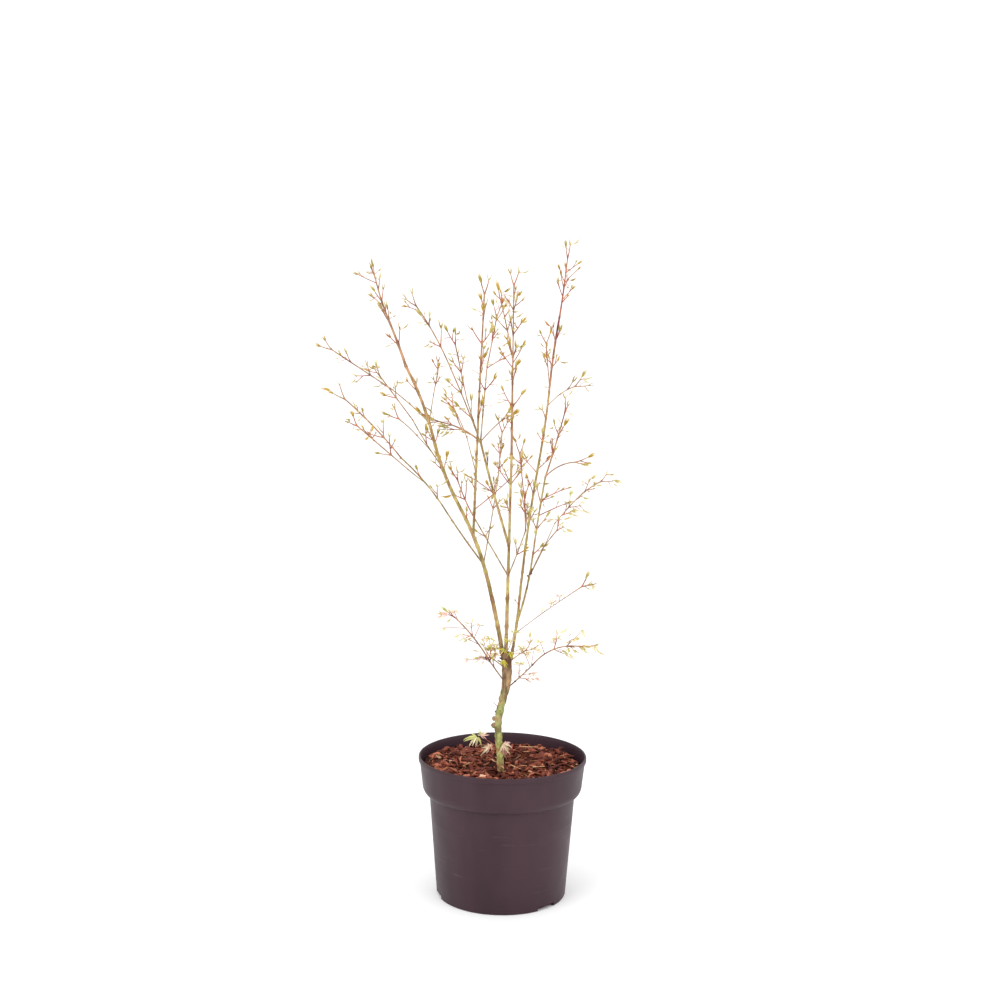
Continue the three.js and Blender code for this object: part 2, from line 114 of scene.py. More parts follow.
# A mass: the limb that its stem carries on from, then length, bearing, leans and length of leaf.
MASSES = {
    "left_crown": ("left_stem", 120, 160, [20, 25, 15], 8),
    "middle_crown": ("middle_stem", 120, -90, [10, 10], 9),
    "right_crown": ("right_stem", 85, 55, [15, 10], 8),
    "front_crown": ("front_bough", 120, -80, [15, 15], 9),
    "outer_left_spray": ("outer_left_bough", 105, -155, [40, 50], 8),
    "outer_left_low_spray": ("outer_left_low_bough", 100, -135, [55, 55], 8),
    "inner_back_spray": ("inner_back_bough", 75, 80, [25, 25], 9),
    "inner_left_spray": ("inner_left_bough", 50, 175, [20, 30], 9),
    "far_left_spray": ("far_left_bough", 100, 160, [60, 60], 8),
    "left_wisp_spray": ("left_wisp_bough", 45, -75, [40, 40], 8),
    "back_left_spray": ("back_left_bough", 85, 145, [45, 45], 9),
    "back_left_low_spray": ("back_left_low_bough", 45, -150, [45, 55], 9),
    "crossing_spray": ("crossing_bough", 65, 130, [45, 30], 9),
    "leaning_spray": ("leaning_bough", 60, -95, [25, 30], 10),
    "fan_left_spray": ("fan_left_bough", 105, 140, [30, 45], 9),
    "fan_middle_spray": ("fan_middle_bough", 80, -125, [20, 20], 9),
    "fan_arms_spray": ("fan_bough", 65, 170, [50, 80], 10),
    "fan_right_spray": ("fan_right_bough", 80, 70, [30, 25], 9),
    "right_low_spray": ("right_low_bough", 65, 100, [35, 30], 10),
    "right_inner_spray": ("right_inner_bough", 60, 95, [40, 35], 8),
    "right_side_spray": ("right_side_bough", 35, -20, [55, 70], 9),
    "right_arm_spray": ("right_arm_bough", 40, 20, [60, 60], 11),
    "outer_right_spray": ("outer_right_stem", 95, -60, [30, 25], 10),
    "arching_spray": ("arching_bough", 90, 30, [45, 50, 70], 12),
    "arching_low_spray": ("arching_low_bough", 50, -55, [45, 50], 12),
    "fork_left_spray": ("trunk", 40, -175, [40, 60], 13),
    "fork_right_spray": ("trunk", 45, -25, [40, 60], 13),
    "foot_spray": ("trunk", 40, -165, [60, 85], 20),
    "low_left_spray": ("low_left_bough", 85, -140, [35, 50], 14),
    "low_right_spray": ("low_right_bough", 85, -35, [40, 90], 14),
}
# A mass that springs from the trunk's side: how high, and its stem's radius.
TRUNK_MASSES = {"fork_left_spray": (0.85, 0.6), "fork_right_spray": (0.9, 0.6), "foot_spray": (0.2, 0.8)}
# The further stems of a mass: how far along its own stem, then length, bearing and leans.
BRANCHES = {
    "middle_crown": [(1, 95, -90, [20, 20]), (1, 80, 115, [25, 30])],
    "fan_arms_spray": [(0, 50, 10, [40, 50])],
    "outer_right_spray": [(0, 55, 25, [45, 90])],
}

# ---- What is finer here than in the source ----

WOOD_STEP = 3  # between the points along a limb
STOUT_LIMBS = ["left_stem", "middle_stem", "right_stem", "outer_right_stem", "front_bough", "fan_bough"]
NODE_SPACING = 31  # between the swollen nodes along a bough
NODE_SWELL = 0.32
NODE_REACH = 1.6
COLLAR_SWELL = 0.55
COLLAR_REACH = 2.5
TRUNK_NODES = (34, 0.12)  # the spacing and the swell of the trunk's own nodes
STEM_NODE_SWELL = 0.4
VOXEL = 0.5  # the grid on which the stout wood is made one skin
REMESH_LOSS = 0.25  # what remeshing and smoothing take off a limb's radius
ROUGH_TRUNK, ROUGH_STEMS = 0.65, 0.16  # the depth of their bark

# The seeds of each kind of finer growth, to which a limb's number is added, and the other seeds.
FINER_SEED, ALONG_SEED, NODE_SEED = 500, 900, 1300
HAND_SET_SEED, CHIP_SEED, FIBRE_SEED, NOISE_SEED = 77, 4242, 99, 5

# A limb's girth as a share of the source's, along its length, and at a crown's foot.
GIRTH_SHARES = {
    "left_stem": [1, 1, 1.15],
    "middle_stem": [1, 1, 0.85, 0.78, 0.9],
    "right_stem": [0.85, 0.76, 0.8, 1, 1.3],
    "outer_right_stem": [0.85, 0.75, 0.85],
}
STOUT_CROWNS = {"left_crown": 1.4, "right_crown": 1.45}
STEM_TIP_SWELL = 1.6

# The boughs that carry shoots along them: from which share to which, and how many nodes have a pair.
LEAFY_BOUGHS = {
    "left_stem": (0.36, 1, 0.6),
    "middle_stem": (0.62, 1, 0.85),
    "right_stem": (0.42, 0.95, 0.75),
    "outer_right_stem": (0.5, 1, 0.7),
    "front_bough": (0.25, 1, 0.7),
    "fan_bough": (0.35, 0.95, 0.9),
    "fan_left_bough": (0.3, 1, 0.5),
    "fan_middle_bough": (0.3, 1, 0.5),
    "fan_right_bough": (0.2, 1, 0.7),
    "crossing_bough": (0.4, 1, 0.8),
    "inner_back_bough": (0.5, 1, 0.7),
    "leaning_bough": (0.5, 1, 0.9),
    "right_low_bough": (0.3, 1, 0.9),
    "outer_left_bough": (0.45, 1, 0.5),
    "back_left_bough": (0.4, 1, 0.5),
    "low_left_bough": (0.5, 1, 0.9),
    "low_right_bough": (0.5, 1, 0.9),
    "arching_bough": (0.7, 1, 0.9),
}
# The sprays without short shoots between their nodes, and the ones with red stems.
BARE_SPRAYS = ["outer_left_spray", "outer_left_low_spray", "far_left_spray"]
BARE_SPRAYS += ["outer_right_spray", "right_arm_spray"]
RED_SPRAYS = ["right_crown", "crossing_spray", "leaning_spray", "right_low_spray", "right_inner_spray"]

# How the shoots of the crown and of the low sprays are dressed: the weights of their tints, the length of
# leaf and the girth as shares of the source's, how many of the leaves hang from stalks, how many more
# leaves hang along the shoot, from the fewest to the most, and the form and the sag of those that hang.
UPPER = {"tints": {"gold": 5, "straw": 4, "olive": 3, "rust": 0.6}, "leaf": 1.3, "swell": 1.6}
UPPER |= {"hanging": 0.15, "more": (0.3, 3.3), "form": "sliver", "sag": 0.5}
LOWER = {"tints": {"lime": 1.2, "cream": 3, "straw": 6, "bright": 0.7, "blush": 0.8}, "leaf": 0.8}
LOWER |= {"swell": 1.2, "hanging": 0.7, "more": (1, 4), "form": "opening", "sag": 0.7}
LONGEST_UPPER_LEAF = 11  # a mass with longer leaves is dressed as a low one
BARE_LEAF = 0.85  # the leaves of the bare sprays, the short shoots and the twiglets, as shares of the others
SHORT_SHOOT_LEAF = 0.9
TWIGLET_LEAF = 0.8
ALONG_LEAF = 8.5  # the length of leaf along a bough
RED_SHARE = 0.6  # of the shoots that are red
TWIGLET_SHARE = 0.35  # of the long shoots that carry a twiglet
BARE_NODE_SHARE = 0.35  # of the nodes' sides that have no bud
STALK_GIRTH = 0.32
SUNK = {"furled": 0.4, "bud": 0.3}  # how far a leaf's root sits inside its twig's tip

# ---- Directions, chance and limbs ----


def lerp(low, high, share):
    return low + (high - low) * share


def heading(lean, toward):
    """The direction that leans so far from upright toward a bearing."""
    tilt, turn = math.radians(lean), math.radians(toward)
    return Vector((math.sin(tilt) * math.cos(turn), math.sin(tilt) * math.sin(turn), math.cos(tilt)))


def droop(direction, amount):
    """A direction turned down by its own weight."""
    return (direction + Vector((0, 0, -amount))).normalized()


def value_at(values, share):
    """The value at a share of the way along a list of evenly spaced values."""
    place = share * (len(values) - 1)
    before = min(int(place), len(values) - 2)
    return lerp(values[before], values[before + 1], place - before)


def seeded_random(seed):
    """Park and Miller's generator, as in the part's source. A draw lies between two values."""
    multiplier, modulus = 16807, 2147483647
    state = seed * multiplier

    def draw(low=0, high=1):
        nonlocal state
        state = (state * multiplier) % modulus
        return lerp(low, high, state / modulus)

    return draw


def pick_tint(random, tints):
    """One of the tints, each as likely as its weight."""
    place = random() * sum(tints.values())
    for tint, weight in tints.items():
        place -= weight
        if place <= 0:
            return tint
    return tint


class Limb:
    """A limb whose centre line is walked in even steps from its start."""

    def __init__(self, start, length, toward, leans, girths, twist=0):
        self.length, self.toward, self.leans = length, toward, leans
        self.girths, self.twist = girths, twist
        self.steps = max(2, round(length / WOOD_STEP))
        self.points = [start.copy()]
        for index in range(self.steps):
            stride = heading(value_at(leans, (index + 0.5) / self.steps), toward)
            self.points.append(self.points[-1] + stride * (length / self.steps))

    def point_at(self, share):
        place = share * self.steps
        before = min(int(place), self.steps - 1)
        return self.points[before].lerp(self.points[before + 1], place - before)

    def direction_at(self, share):
        return heading(value_at(self.leans, share), self.toward)

    def turned_from(self, share, spread, around):
        """A direction turned so far from the limb's own, to the side that `around` gives."""
        along = self.direction_at(share)
        side = heading(90, self.toward + 90)
        up = along.cross(side)
        turn, tilt = math.radians(around), math.radians(spread)
        outward = side * math.cos(turn) + up * math.sin(turn)
        return along * math.cos(tilt) + outward * math.sin(tilt)

    def path(self, swell=lambda share: 1):
        """The centre line's points, each with its radius."""
        shares = [index / self.steps for index in range(self.steps + 1)]
        spots = zip(self.points, shares)
        return [(point, value_at(self.girths, share) * swell(share)) for point, share in spots]

    def nodes(self, spacing):
        """How many nodes the limb has when they are about so far apart."""
        return max(1, round(self.length / spacing))


def both_sides(nodes):
    """Each of the nodes with each of its two sides, in degrees."""
    return [(node, side) for node in nodes for side in (0, 180)]


# ---- The tree ----


def make_limbs():
    """The trunk and the boughs, by name."""
    foot = Vector((*TRUNK["foot"], BARK_PATCH_TOP))
    limbs = {"trunk": Limb(foot, TRUNK["length"], TRUNK["toward"], TRUNK["leans"], TRUNK["girths"])}
    for name, (parent_name, at, length, toward, leans, girth) in BOUGHS.items():
        parent = limbs[parent_name]
        aside = parent.girths[-1] * FORK_SPREAD if at == 1 else 0
        start = parent.point_at(at) + heading(90, toward) * aside
        girths = [girth, girth * (1 - length / TAPER_LENGTH)]
        limbs[name] = Limb(start, length, toward, leans, girths)
    return limbs


def stems_of(name, limbs):
    """A mass's stems: the one that carries on from its bough, and any that branch from it."""
    parent_name, length, toward, leans, _ = MASSES[name]
    parent = limbs[parent_name]
    at, girth = TRUNK_MASSES.get(name, (1, parent.girths[-1]))
    girths = [girth, SHOOT["girth"]]
    stems = [Limb(parent.point_at(at), length - SHOOT["length"], toward, leans, girths)]
    for along, branch_length, branch_toward, branch_leans in BRANCHES.get(name, []):
        start, reach = stems[0].point_at(along), branch_length - SHOOT["length"]
        stems.append(Limb(start, reach, branch_toward, branch_leans, [SHOOT["girth"]] * 2, twist=45))
    return stems


def shoot_from(stem, share, spread, around, length):
    """A shoot that leaves a stem at so many degrees, and turns up along its length."""
    direction = stem.turned_from(share, spread, around)
    lean = math.degrees(math.acos(direction.z))
    toward = math.degrees(math.atan2(direction.y, direction.x))
    girths = [SHOOT["girth"], SHOOT["tip_girth"]]
    return Limb(stem.point_at(share), length, toward, [lean, lean - SHOOT["lift"]], girths)


def grow_shoots(stem, random):
    """Pairs of shoots at a stem's nodes, each pair turned a quarter from the last, and a fork at its tip."""
    nodes = stem.nodes(SHOOT["spacing"])
    shoots = []
    for node, side in both_sides(range(1, nodes + 1)):
        share = node / nodes
        spread = lerp(SHOOT["spread"], SHOOT["fork_spread"], int(share)) * random(0.8, 1.2)
        around = 90 * node + side + stem.twist + random(-25, 25)
        length = SHOOT["length"] * lerp(1.2, 0.8, share) * random(0.7, 1.3)
        shoots.append(shoot_from(stem, share, spread, around, length))
    return shoots


def short_shoots(stem, finer):
    """Shorter pairs between a stem's nodes, where its outer half has grown less."""
    nodes = stem.nodes(SHOOT["spacing"])
    shoots = []
    for node, side in both_sides(range(nodes)):
        share = (node + 0.5) / nodes
        around = 90 * node + 45 + side + stem.twist + finer(-25, 25)
        spread, length = finer(25, 50), finer(6, 11)
        if finer() < lerp(0, 0.55, share):
            shoots.append(shoot_from(stem, share, spread, around, length))
    return shoots


class Foliage:
    """What the growth gathers: paths by kind of wood, and the leaves' places by form and tint."""

    def __init__(self, limbs):
        self.paths = {kind: [] for kind in THIN_WOOD}
        self.leaves = {}
        spots = [spot for limb in limbs.values() for spot in limb.path()]
        self.radii = [radius for _, radius in spots]
        self.wood = kdtree.KDTree(len(spots))
        for index, (point, _) in enumerate(spots):
            self.wood.insert(point, index)
        self.wood.balance()

    def touches_wood(self, point):
        _, index, distance = self.wood.find(point)
        return distance <= self.radii[index] + SHOOT["girth"]

    def add(self, kind, path):
        self.paths[kind].append(path)

    def add_leaf(self, form, tint, root, direction, across, length):
        normal = across.cross(direction).normalized()
        across = direction.cross(normal).normalized()
        turned = Matrix((across, direction.normalized(), normal)).transposed().to_4x4()
        place = Matrix.Translation(root * MM) @ turned @ Matrix.Scale(length * MM, 4)
        self.leaves.setdefault((form, tint), []).append(place)


def tip_leaf(foliage, form, twig, spread, turn, length, tint):
    """A furled leaf or a bud that carries on from a twig's tip, turned so far from it."""
    root = twig.point_at(1) - twig.direction_at(1) * SUNK[form]
    across = twig.turned_from(1, 90, turn + 90)
    foliage.add_leaf(form, tint, root, twig.turned_from(1, spread, turn), across, length)


def hanging_leaf(foliage, style, twig, share, spread, side, reach, length, tint):
    """A leaf that hangs from a thin bent stalk, which leaves a twig to one side."""
    direction, across = twig.turned_from(share, spread, side), twig.turned_from(share, 90, side + 90)
    start, sag = twig.point_at(share), style["sag"]
    bend = start + direction * reach * 0.55
    end = bend + droop(direction, sag * 0.6) * reach * 0.45
    foliage.add("leaf_stalks", [(start, STALK_GIRTH), (bend, STALK_GIRTH), (end, STALK_GIRTH * 0.8)])
    foliage.add_leaf(style["form"], tint, end, droop(direction, sag), across, length)


def leaf_pair(foliage, twig, tint, leaf_length, finer):
    """Two furled leaves and a bud that carry on from a twig's tip."""
    turn = finer(0, 180)
    for side in (0, 180):
        spread, length = LEAF_SPREAD * finer(0.2, 0.55), leaf_length * finer(0.7, 1)
        tip_leaf(foliage, "furled", twig, spread, turn + side, length, tint)
    tip_leaf(foliage, "bud", twig, 0, turn - 90, leaf_length * 0.5, tint)


def dress_shoot(foliage, style, twig, leaf_length, random, finer):
    """A shoot with its pair of leaves, as in the source, and the finer growth along it.

    A shoot that would touch a limb is skipped.
    """
    if foliage.touches_wood(twig.point_at(1)):
        return
    tint, swell = pick_tint(finer, style["tints"]), style["swell"]
    wood = "red_twigs" if finer() < RED_SHARE else "twigs"
    foliage.add(wood, twig.path(lambda share: swell + 0.7 * math.exp(-share * twig.length / NODE_REACH)))
    leaf_length *= style["leaf"]
    turn = random(0, 180)
    for side in (turn, turn + 180):
        spread, length = LEAF_SPREAD * random(0.7, 1.3), leaf_length * random(0.75, 1.25)
        if finer() < style["hanging"]:
            hanging_leaf(foliage, style, twig, 1, spread * 1.4, side, finer(2.5, 6), length, tint)
        else:
            tip_leaf(foliage, "furled", twig, spread * 0.52, side, length, tint)
    tip_leaf(foliage, "bud", twig, 0, turn - 90, length * 0.48, tint)
    for _ in range(int(finer(*style["more"]))):
        share, side, spread = finer(0.3, 0.9), finer(0, 360), finer(35, 75)
        length = leaf_length * finer(0.5, 0.8)
        own_tint = pick_tint(finer, style["tints"]) if style is LOWER else "straw"
        hanging_leaf(foliage, style, twig, share, spread, side, finer(2, 8), length, own_tint)
    if finer() < TWIGLET_SHARE and twig.length > 9:
        twiglet = shoot_from(twig, finer(0.3, 0.6), finer(30, 50), finer(0, 360), 8)
        foliage.add("red_twigs", twiglet.path(lambda share: 1.4))
        leaf_pair(foliage, twiglet, tint, leaf_length * TWIGLET_LEAF, finer)


def grow_mass(foliage, name, stems, seed):
    """A mass's stems, shoots and leaves."""
    random, finer = seeded_random(seed), seeded_random(seed + FINER_SEED)
    leaf_length = MASSES[name][-1]
    style = LOWER if leaf_length > LONGEST_UPPER_LEAF else UPPER
    bare = name in BARE_SPRAYS
    leaf_length *= BARE_LEAF if bare else 1
    for index, stem in enumerate(stems):
        nodes = node_swell(stem, SHOOT["spacing"], STEM_NODE_SWELL)
        stout = STOUT_CROWNS.get(name, STEM_TIP_SWELL if index else 1)
        path = stem.path(lambda share: nodes(share) * lerp(stout, STEM_TIP_SWELL, share))
        foliage.add("red_twigs" if name in RED_SPRAYS else "twigs", path)
        mark_nodes(foliage, stem, SHOOT["spacing"], finer)
    for twig in [twig for stem in stems for twig in grow_shoots(stem, random)]:
        dress_shoot(foliage, style, twig, leaf_length, random, finer)
    for stem in [] if bare else stems:
        for twig in short_shoots(stem, finer):
            dress_shoot(foliage, style, twig, leaf_length * SHORT_SHOOT_LEAF, finer, finer)


def node_swell(limb, spacing, swell):
    """How a limb thickens round its nodes, which are evenly spaced, as a factor at each share."""
    nodes = limb.nodes(spacing)

    def factor(share):
        off_node = abs(share * nodes - round(share * nodes)) * limb.length / nodes
        return 1 + swell * math.exp(-((off_node / NODE_REACH) ** 2))

    return factor


def mark_nodes(foliage, limb, spacing, finer):
    """Small dark buds at a limb's nodes."""
    nodes = limb.nodes(spacing)
    for node, side in both_sides(range(1, nodes + 1)):
        if finer() < BARE_NODE_SHARE:
            continue
        share = node / nodes
        spread, around = finer(35, 60), 90 * node + side + finer(-40, 40)
        out, radius = limb.turned_from(share, spread, around), value_at(limb.girths, share)
        start, reach = limb.point_at(share) + out * radius * 0.8, radius * 0.5 + finer(0.7, 1.6)
        profile = [(0, 0.5), (0.6, 0.55), (1, 0.15)]
        foliage.add("node_buds", [(start + out * reach * way, girth) for way, girth in profile])


def grow_along(foliage, name, bough, seed):
    """Small pairs of leafy shoots at the nodes along a bough."""
    finer = seeded_random(seed + ALONG_SEED)
    first, last, fullness = LEAFY_BOUGHS[name]
    style = LOWER if name.startswith("low") else UPPER
    nodes = bough.nodes(NODE_SPACING)
    for node, side in both_sides(range(1, nodes)):
        share = node / nodes
        around = 90 * node + side + finer(-35, 35)
        spread, length = finer(28, 52), finer(7, 17)
        if finer() <= fullness and first <= share <= last:
            twig = shoot_from(bough, share, spread, around, length + value_at(bough.girths, share))
            dress_shoot(foliage, style, twig, ALONG_LEAF, finer, finer)


# ---- What is listed one by one ----


def lobed_leaf(foliage, root, direction, face, size, tints, finer):
    """A cut leaf, lobe by lobe, each with its own tint and curl. A small one has fewer lobes."""
    normal = (heading(90, face) + Vector((0, 0, 0.55))).normalized()
    across = direction.cross(normal).normalized()
    for turn, length in LOBES[: 5 if size > 8 else 3]:
        swing = math.radians(turn + finer(-12, 12))
        way = (direction * math.cos(swing) + across * math.sin(swing)).normalized()
        way = droop(way + normal * finer(-0.35, 0.35), 0.1)
        roll = way.cross(normal + across * finer(-0.9, 0.9))
        reach = size * length * finer(0.8, 1.1)
        foliage.add_leaf("lobe", pick_tint(finer, tints), root, way, roll, reach)


def hand_set_growth(foliage, limbs):
    """The leaves round the trunk's foot and the fork, the snags, and the crown's fine twigs."""
    finer = seeded_random(HAND_SET_SEED)
    for name, stalks in HAND_SET_STALKS.items():
        for share, toward, leans, reach, leaves in stalks:
            stalk = Limb(limbs[name].point_at(share), reach, toward, leans, [0.4, 0.3])
            foliage.add("red_twigs", stalk.path())
            for lean, leaf_toward, size, tints in leaves:
                face, way = -90 + finer(-35, 35), heading(lean, leaf_toward)
                lobed_leaf(foliage, stalk.points[-1], way, face, size, tints, finer)
    for name, snags in SNAGS.items():
        for share, toward, lean, reach, radius in snags:
            start, out = limbs[name].point_at(share), heading(lean, toward)
            foliage.add("snags", [(start + out * reach * way, radius * part) for way, part in SNAG_PROFILE])
    for name, share, toward, leans, length in FINE_TWIGS:
        twig = Limb(limbs[name].point_at(share), length, toward, leans, [0.6, 0.42])
        foliage.add("red_twigs", twig.path(node_swell(twig, 20, 0.3)))
        leaf_pair(foliage, twig, "gold", 10, finer)
        for index in range(round(length / 15)):
            share, side = finer(0.5, 0.9), 180 * index + finer(-40, 40)
            side_twig = shoot_from(twig, share, finer(30, 50), side, finer(5, 9))
            foliage.add("red_twigs", side_twig.path())
            leaf_pair(foliage, side_twig, pick_tint(finer, UPPER["tints"]), 8, finer)


LOBES = [(0, 1), (20, 0.9), (-23, 0.85), (48, 0.6), (-50, 0.55)]  # the turn and the share of the length

MIXED = LOWER["tints"]
# The ivory and rosy tints are paler copies of cream and blush. They are partly the leaves' own pale colour
# and partly painted light against the shade in the pot, where most of these leaves hang.
GREEN = {"lime": 4, "ivory": 3}
CREAM = {"ivory": 4, "rosy": 3}
ROSE = {"rosy": 3, "ivory": 1}
PINK = {"blush": 3, "cream": 1}
BRIGHT = {"lime": 2, "bright": 2.5, "straw": 2.5}

# The stalks set one by one on a limb: how far along it, bearing, leans, length and leaves.
# A leaf: its lean and bearing, size and tints.
HAND_SET_STALKS = {
    "trunk": [
        (0.21, -168, [72, 48], 30, [(168, 180, 14, GREEN), (150, 0, 12, GREEN)]),
        (0.21, -168, [72, 48], 30, [(106, 178, 19, GREEN)]),
        (0.22, -165, [60, 50], 27, [(20, 175, 9, GREEN), (40, 10, 9, ROSE), (75, -20, 9, ROSE)]),
        (0.2, -160, [65, 50], 14, [(155, -165, 16, ROSE), (110, 170, 11, CREAM)]),
        (0.2, -160, [65, 50], 15, [(135, 5, 12, CREAM)]),
        (0.24, -50, [50, 70], 9, [(165, -15, 19, CREAM), (140, 0, 15, CREAM)]),
        (0.24, -50, [50, 70], 9, [(95, 0, 10, ROSE)]),
        (0.22, -40, [60, 60], 7, [(172, 0, 17, ROSE)]),
        (0.93, -110, [50, 80], 8, [(150, -160, 10, BRIGHT), (165, -60, 9, BRIGHT)]),
        (0.96, -150, [40, 80], 14, [(140, -165, 11, BRIGHT), (100, 175, 9, MIXED)]),
        (0.98, -60, [40, 70], 10, [(150, -30, 10, BRIGHT), (120, 0, 8, MIXED)]),
        (0.99, -80, [20, 50], 22, [(70, 180, 9, BRIGHT), (80, 0, 10, BRIGHT)]),
        (0.97, -100, [30, 60], 16, [(110, 185, 10, BRIGHT), (165, 0, 8, BRIGHT)]),
        (0.95, -140, [50, 85], 20, [(150, 180, 10, BRIGHT), (80, 160, 8, MIXED)]),
        (0.97, -150, [40, 60], 24, [(120, 180, 9, BRIGHT), (60, 20, 8, MIXED)]),
        (0.97, -20, [50, 70], 20, [(140, 0, 9, BRIGHT), (60, 20, 9, MIXED)]),
        (0.99, 10, [30, 10], 26, [(60, 170, 8, MIXED), (70, 0, 9, BRIGHT)]),
        (0.98, -30, [70, 85], 26, [(120, 0, 9, MIXED), (70, 10, 9, MIXED)]),
    ],
    "low_left_bough": [
        (0.6, 160, [20, 10], 22, [(60, 180, 9, BRIGHT), (70, 10, 9, MIXED)]),
        (0.7, 60, [10, 20], 20, [(100, 180, 9, MIXED), (60, 0, 9, BRIGHT)]),
        (0.85, 100, [15, 10], 26, [(80, 180, 9, MIXED), (90, 0, 8, BRIGHT)]),
        (0.8, 170, [50, 80], 16, [(105, 175, 8, MIXED), (150, 180, 6, PINK)]),
        (0.95, 185, [85, 95], 22, [(100, 180, 8, PINK), (60, 175, 7, MIXED)]),
        (0.95, 20, [15, 25], 15, [(60, 0, 8, MIXED), (40, 170, 6, PINK)]),
        (1, 165, [10, 20], 20, [(30, 10, 9, PINK), (60, 180, 7, MIXED)]),
    ],
    "low_right_bough": [
        (0.5, 90, [15, 30], 16, [(50, 170, 7, MIXED), (80, 0, 8, MIXED)]),
        (0.6, 20, [80, 85], 12, [(95, 0, 9, PINK), (120, 180, 6, MIXED)]),
        (0.95, 60, [10, 25], 18, [(60, 10, 8, MIXED), (40, 160, 6, MIXED)]),
        (0.9, 150, [20, 35], 22, [(60, 170, 8, MIXED), (40, 20, 8, BRIGHT)]),
    ],
    "low_left_spray": [
        (1, 180, [60, 100], 14, [(120, 180, 9, MIXED), (60, 170, 8, MIXED)]),
        (0.9, 170, [30, 20], 12, [(90, 0, 8, MIXED), (100, 180, 7, MIXED)]),
        (0.7, 185, [85, 90], 22, [(100, 180, 8, MIXED), (140, 180, 7, GREEN)]),
        (0.45, 20, [20, 30], 16, [(100, 10, 8, MIXED), (60, 180, 7, PINK)]),
        (0.3, 180, [60, 70], 14, [(110, 180, 8, MIXED), (60, 0, 7, MIXED)]),
    ],
    "low_right_spray": [
        (1, 0, [80, 95], 15, [(155, 0, 11, GREEN)]),
        (0.75, 0, [45, 40], 25, [(150, 0, 11, GREEN)]),
        (0.7, -30, [80, 120], 5, [(160, 10, 9, BRIGHT)]),
        (0.3, 160, [20, 25], 14, [(60, 180, 8, MIXED), (90, 20, 8, PINK)]),
        (0.5, 20, [20, 15], 12, [(60, 0, 8, MIXED), (80, 175, 7, MIXED)]),
    ],
    "right_arm_bough": [
        (0.55, 90, [20, 30], 4, [(60, 0, 6, MIXED)]),
        (0.72, 60, [20, 50], 5, [(45, 10, 11, PINK), (80, 180, 6, MIXED)]),
        (0.9, 90, [10, 40], 6, [(70, 0, 7, MIXED), (60, 180, 6, PINK)]),
    ],
    "right_arm_spray": [
        (1, 0, [70, 95], 12, [(130, 0, 9, MIXED), (60, 170, 7, MIXED)]),
    ],
}

# The dark stubs and the hearts of knots on a limb: how far along it, bearing, lean, length and radius.
SNAGS = {
    "trunk": [
        (0.4, 200, 80, 8.7, 1.1),
        (0.45, 160, 80, 8.2, 0.9),
        (0.5, 185, 60, 6, 1.3),
        (0.53, 172, 42, 12, 0.35),
        (0.95, -95, 85, 6.4, 1.6),
        (0.93, 200, 60, 10, 1),
        (0.97, 215, 50, 12, 1.2),
        (0.99, -60, 60, 9, 1.1),
        (0.9, 180, 62, 12, 0.8),
    ],
    "low_left_bough": [
        (0.97, 180, 60, 4.5, 1.5),
        (0.9, -60, 40, 4, 1),
    ],
    "low_right_bough": [
        (0.35, -60, 60, 1.8, 1.2),
        (0.75, 60, 40, 2.4, 1.1),
        (0.98, -90, 60, 2.4, 1.2),
    ],
    "outer_right_stem": [
        (0.37, -60, 70, 4.2, 1.5),
        (0.39, 20, 50, 4.5, 1),
        (0.35, -150, 60, 3.6, 0.9),
    ],
}
SNAG_PROFILE = [(0, 0.9), (0.6, 1), (0.9, 0.85), (1, 0.4)]

# A long fine twig that crosses the crown: its limb and share, bearing, leans and length.
FINE_TWIGS = [
    ("front_bough", 0.19, 5, [52, 42], 82),
    ("fan_bough", 0.5, 178, [50, 62], 34),
    ("right_stem", 0.56, 175, [40, 45], 20),
    ("right_stem", 0.5, -170, [15, 25], 19),
    ("outer_right_stem", 0.85, 10, [60, 72], 31),
    ("outer_right_stem", 0.75, 15, [65, 70], 34),
    ("fan_right_bough", 0.97, 0, [56, 62], 30),
    ("middle_stem", 0.85, 170, [40, 35], 26),
    ("outer_right_stem", 0.08, 170, [20, -15], 17),
    ("right_crown", 0.3, 0, [45, 40], 15),
    ("right_crown", 0.35, 180, [25, 12], 16),
    ("right_crown", 0.58, 0, [40, 48], 21),
    ("right_crown", 0.6, 175, [30, 15], 15),
    ("right_crown", 0.75, 5, [50, 55], 16),
    ("left_crown", 0.95, 180, [68, 64], 22),
    ("left_crown", 0.7, 175, [55, 45], 15),
    ("fan_left_spray", 0.9, 180, [65, 75], 16),
    ("fan_right_spray", 0.9, 0, [35, 30], 18),
    ("middle_crown", 0.95, 0, [35, 25], 20),
    ("middle_crown", 0.9, 180, [40, 30], 22),
]


def grow_tree():
    """The limbs by name, and all the foliage."""
    limbs = make_limbs()
    foliage = Foliage(limbs)
    own_stems = {name: stems_of(name, limbs) for name in MASSES}
    for seed, (name, stems) in enumerate(own_stems.items(), start=1):
        if name == "foot_spray":
            foliage.add("twigs", stems[0].path())
        else:
            grow_mass(foliage, name, stems, seed)
    for seed, name in enumerate(LEAFY_BOUGHS, start=1):
        grow_along(foliage, name, limbs[name], seed)
    for seed, limb in enumerate(limbs.values(), start=1):
        mark_nodes(foliage, limb, NODE_SPACING, seeded_random(seed + NODE_SEED))
    hand_set_growth(foliage, limbs | {name: stems[0] for name, stems in own_stems.items()})
    return limbs, foliage


# ---- Materials ----


def colour(red, green, blue):
    """A shader's colour from the three values of the screen's colour, each out of 255."""
    return (*[(value / 255) ** 2.2 for value in (red, green, blue)], 1)


def set_inputs(node, **values):
    """Sets a node's inputs by name, with a low line for each space."""
    for socket, value in values.items():
        node.inputs[socket.replace("_", " ")].default_value = value


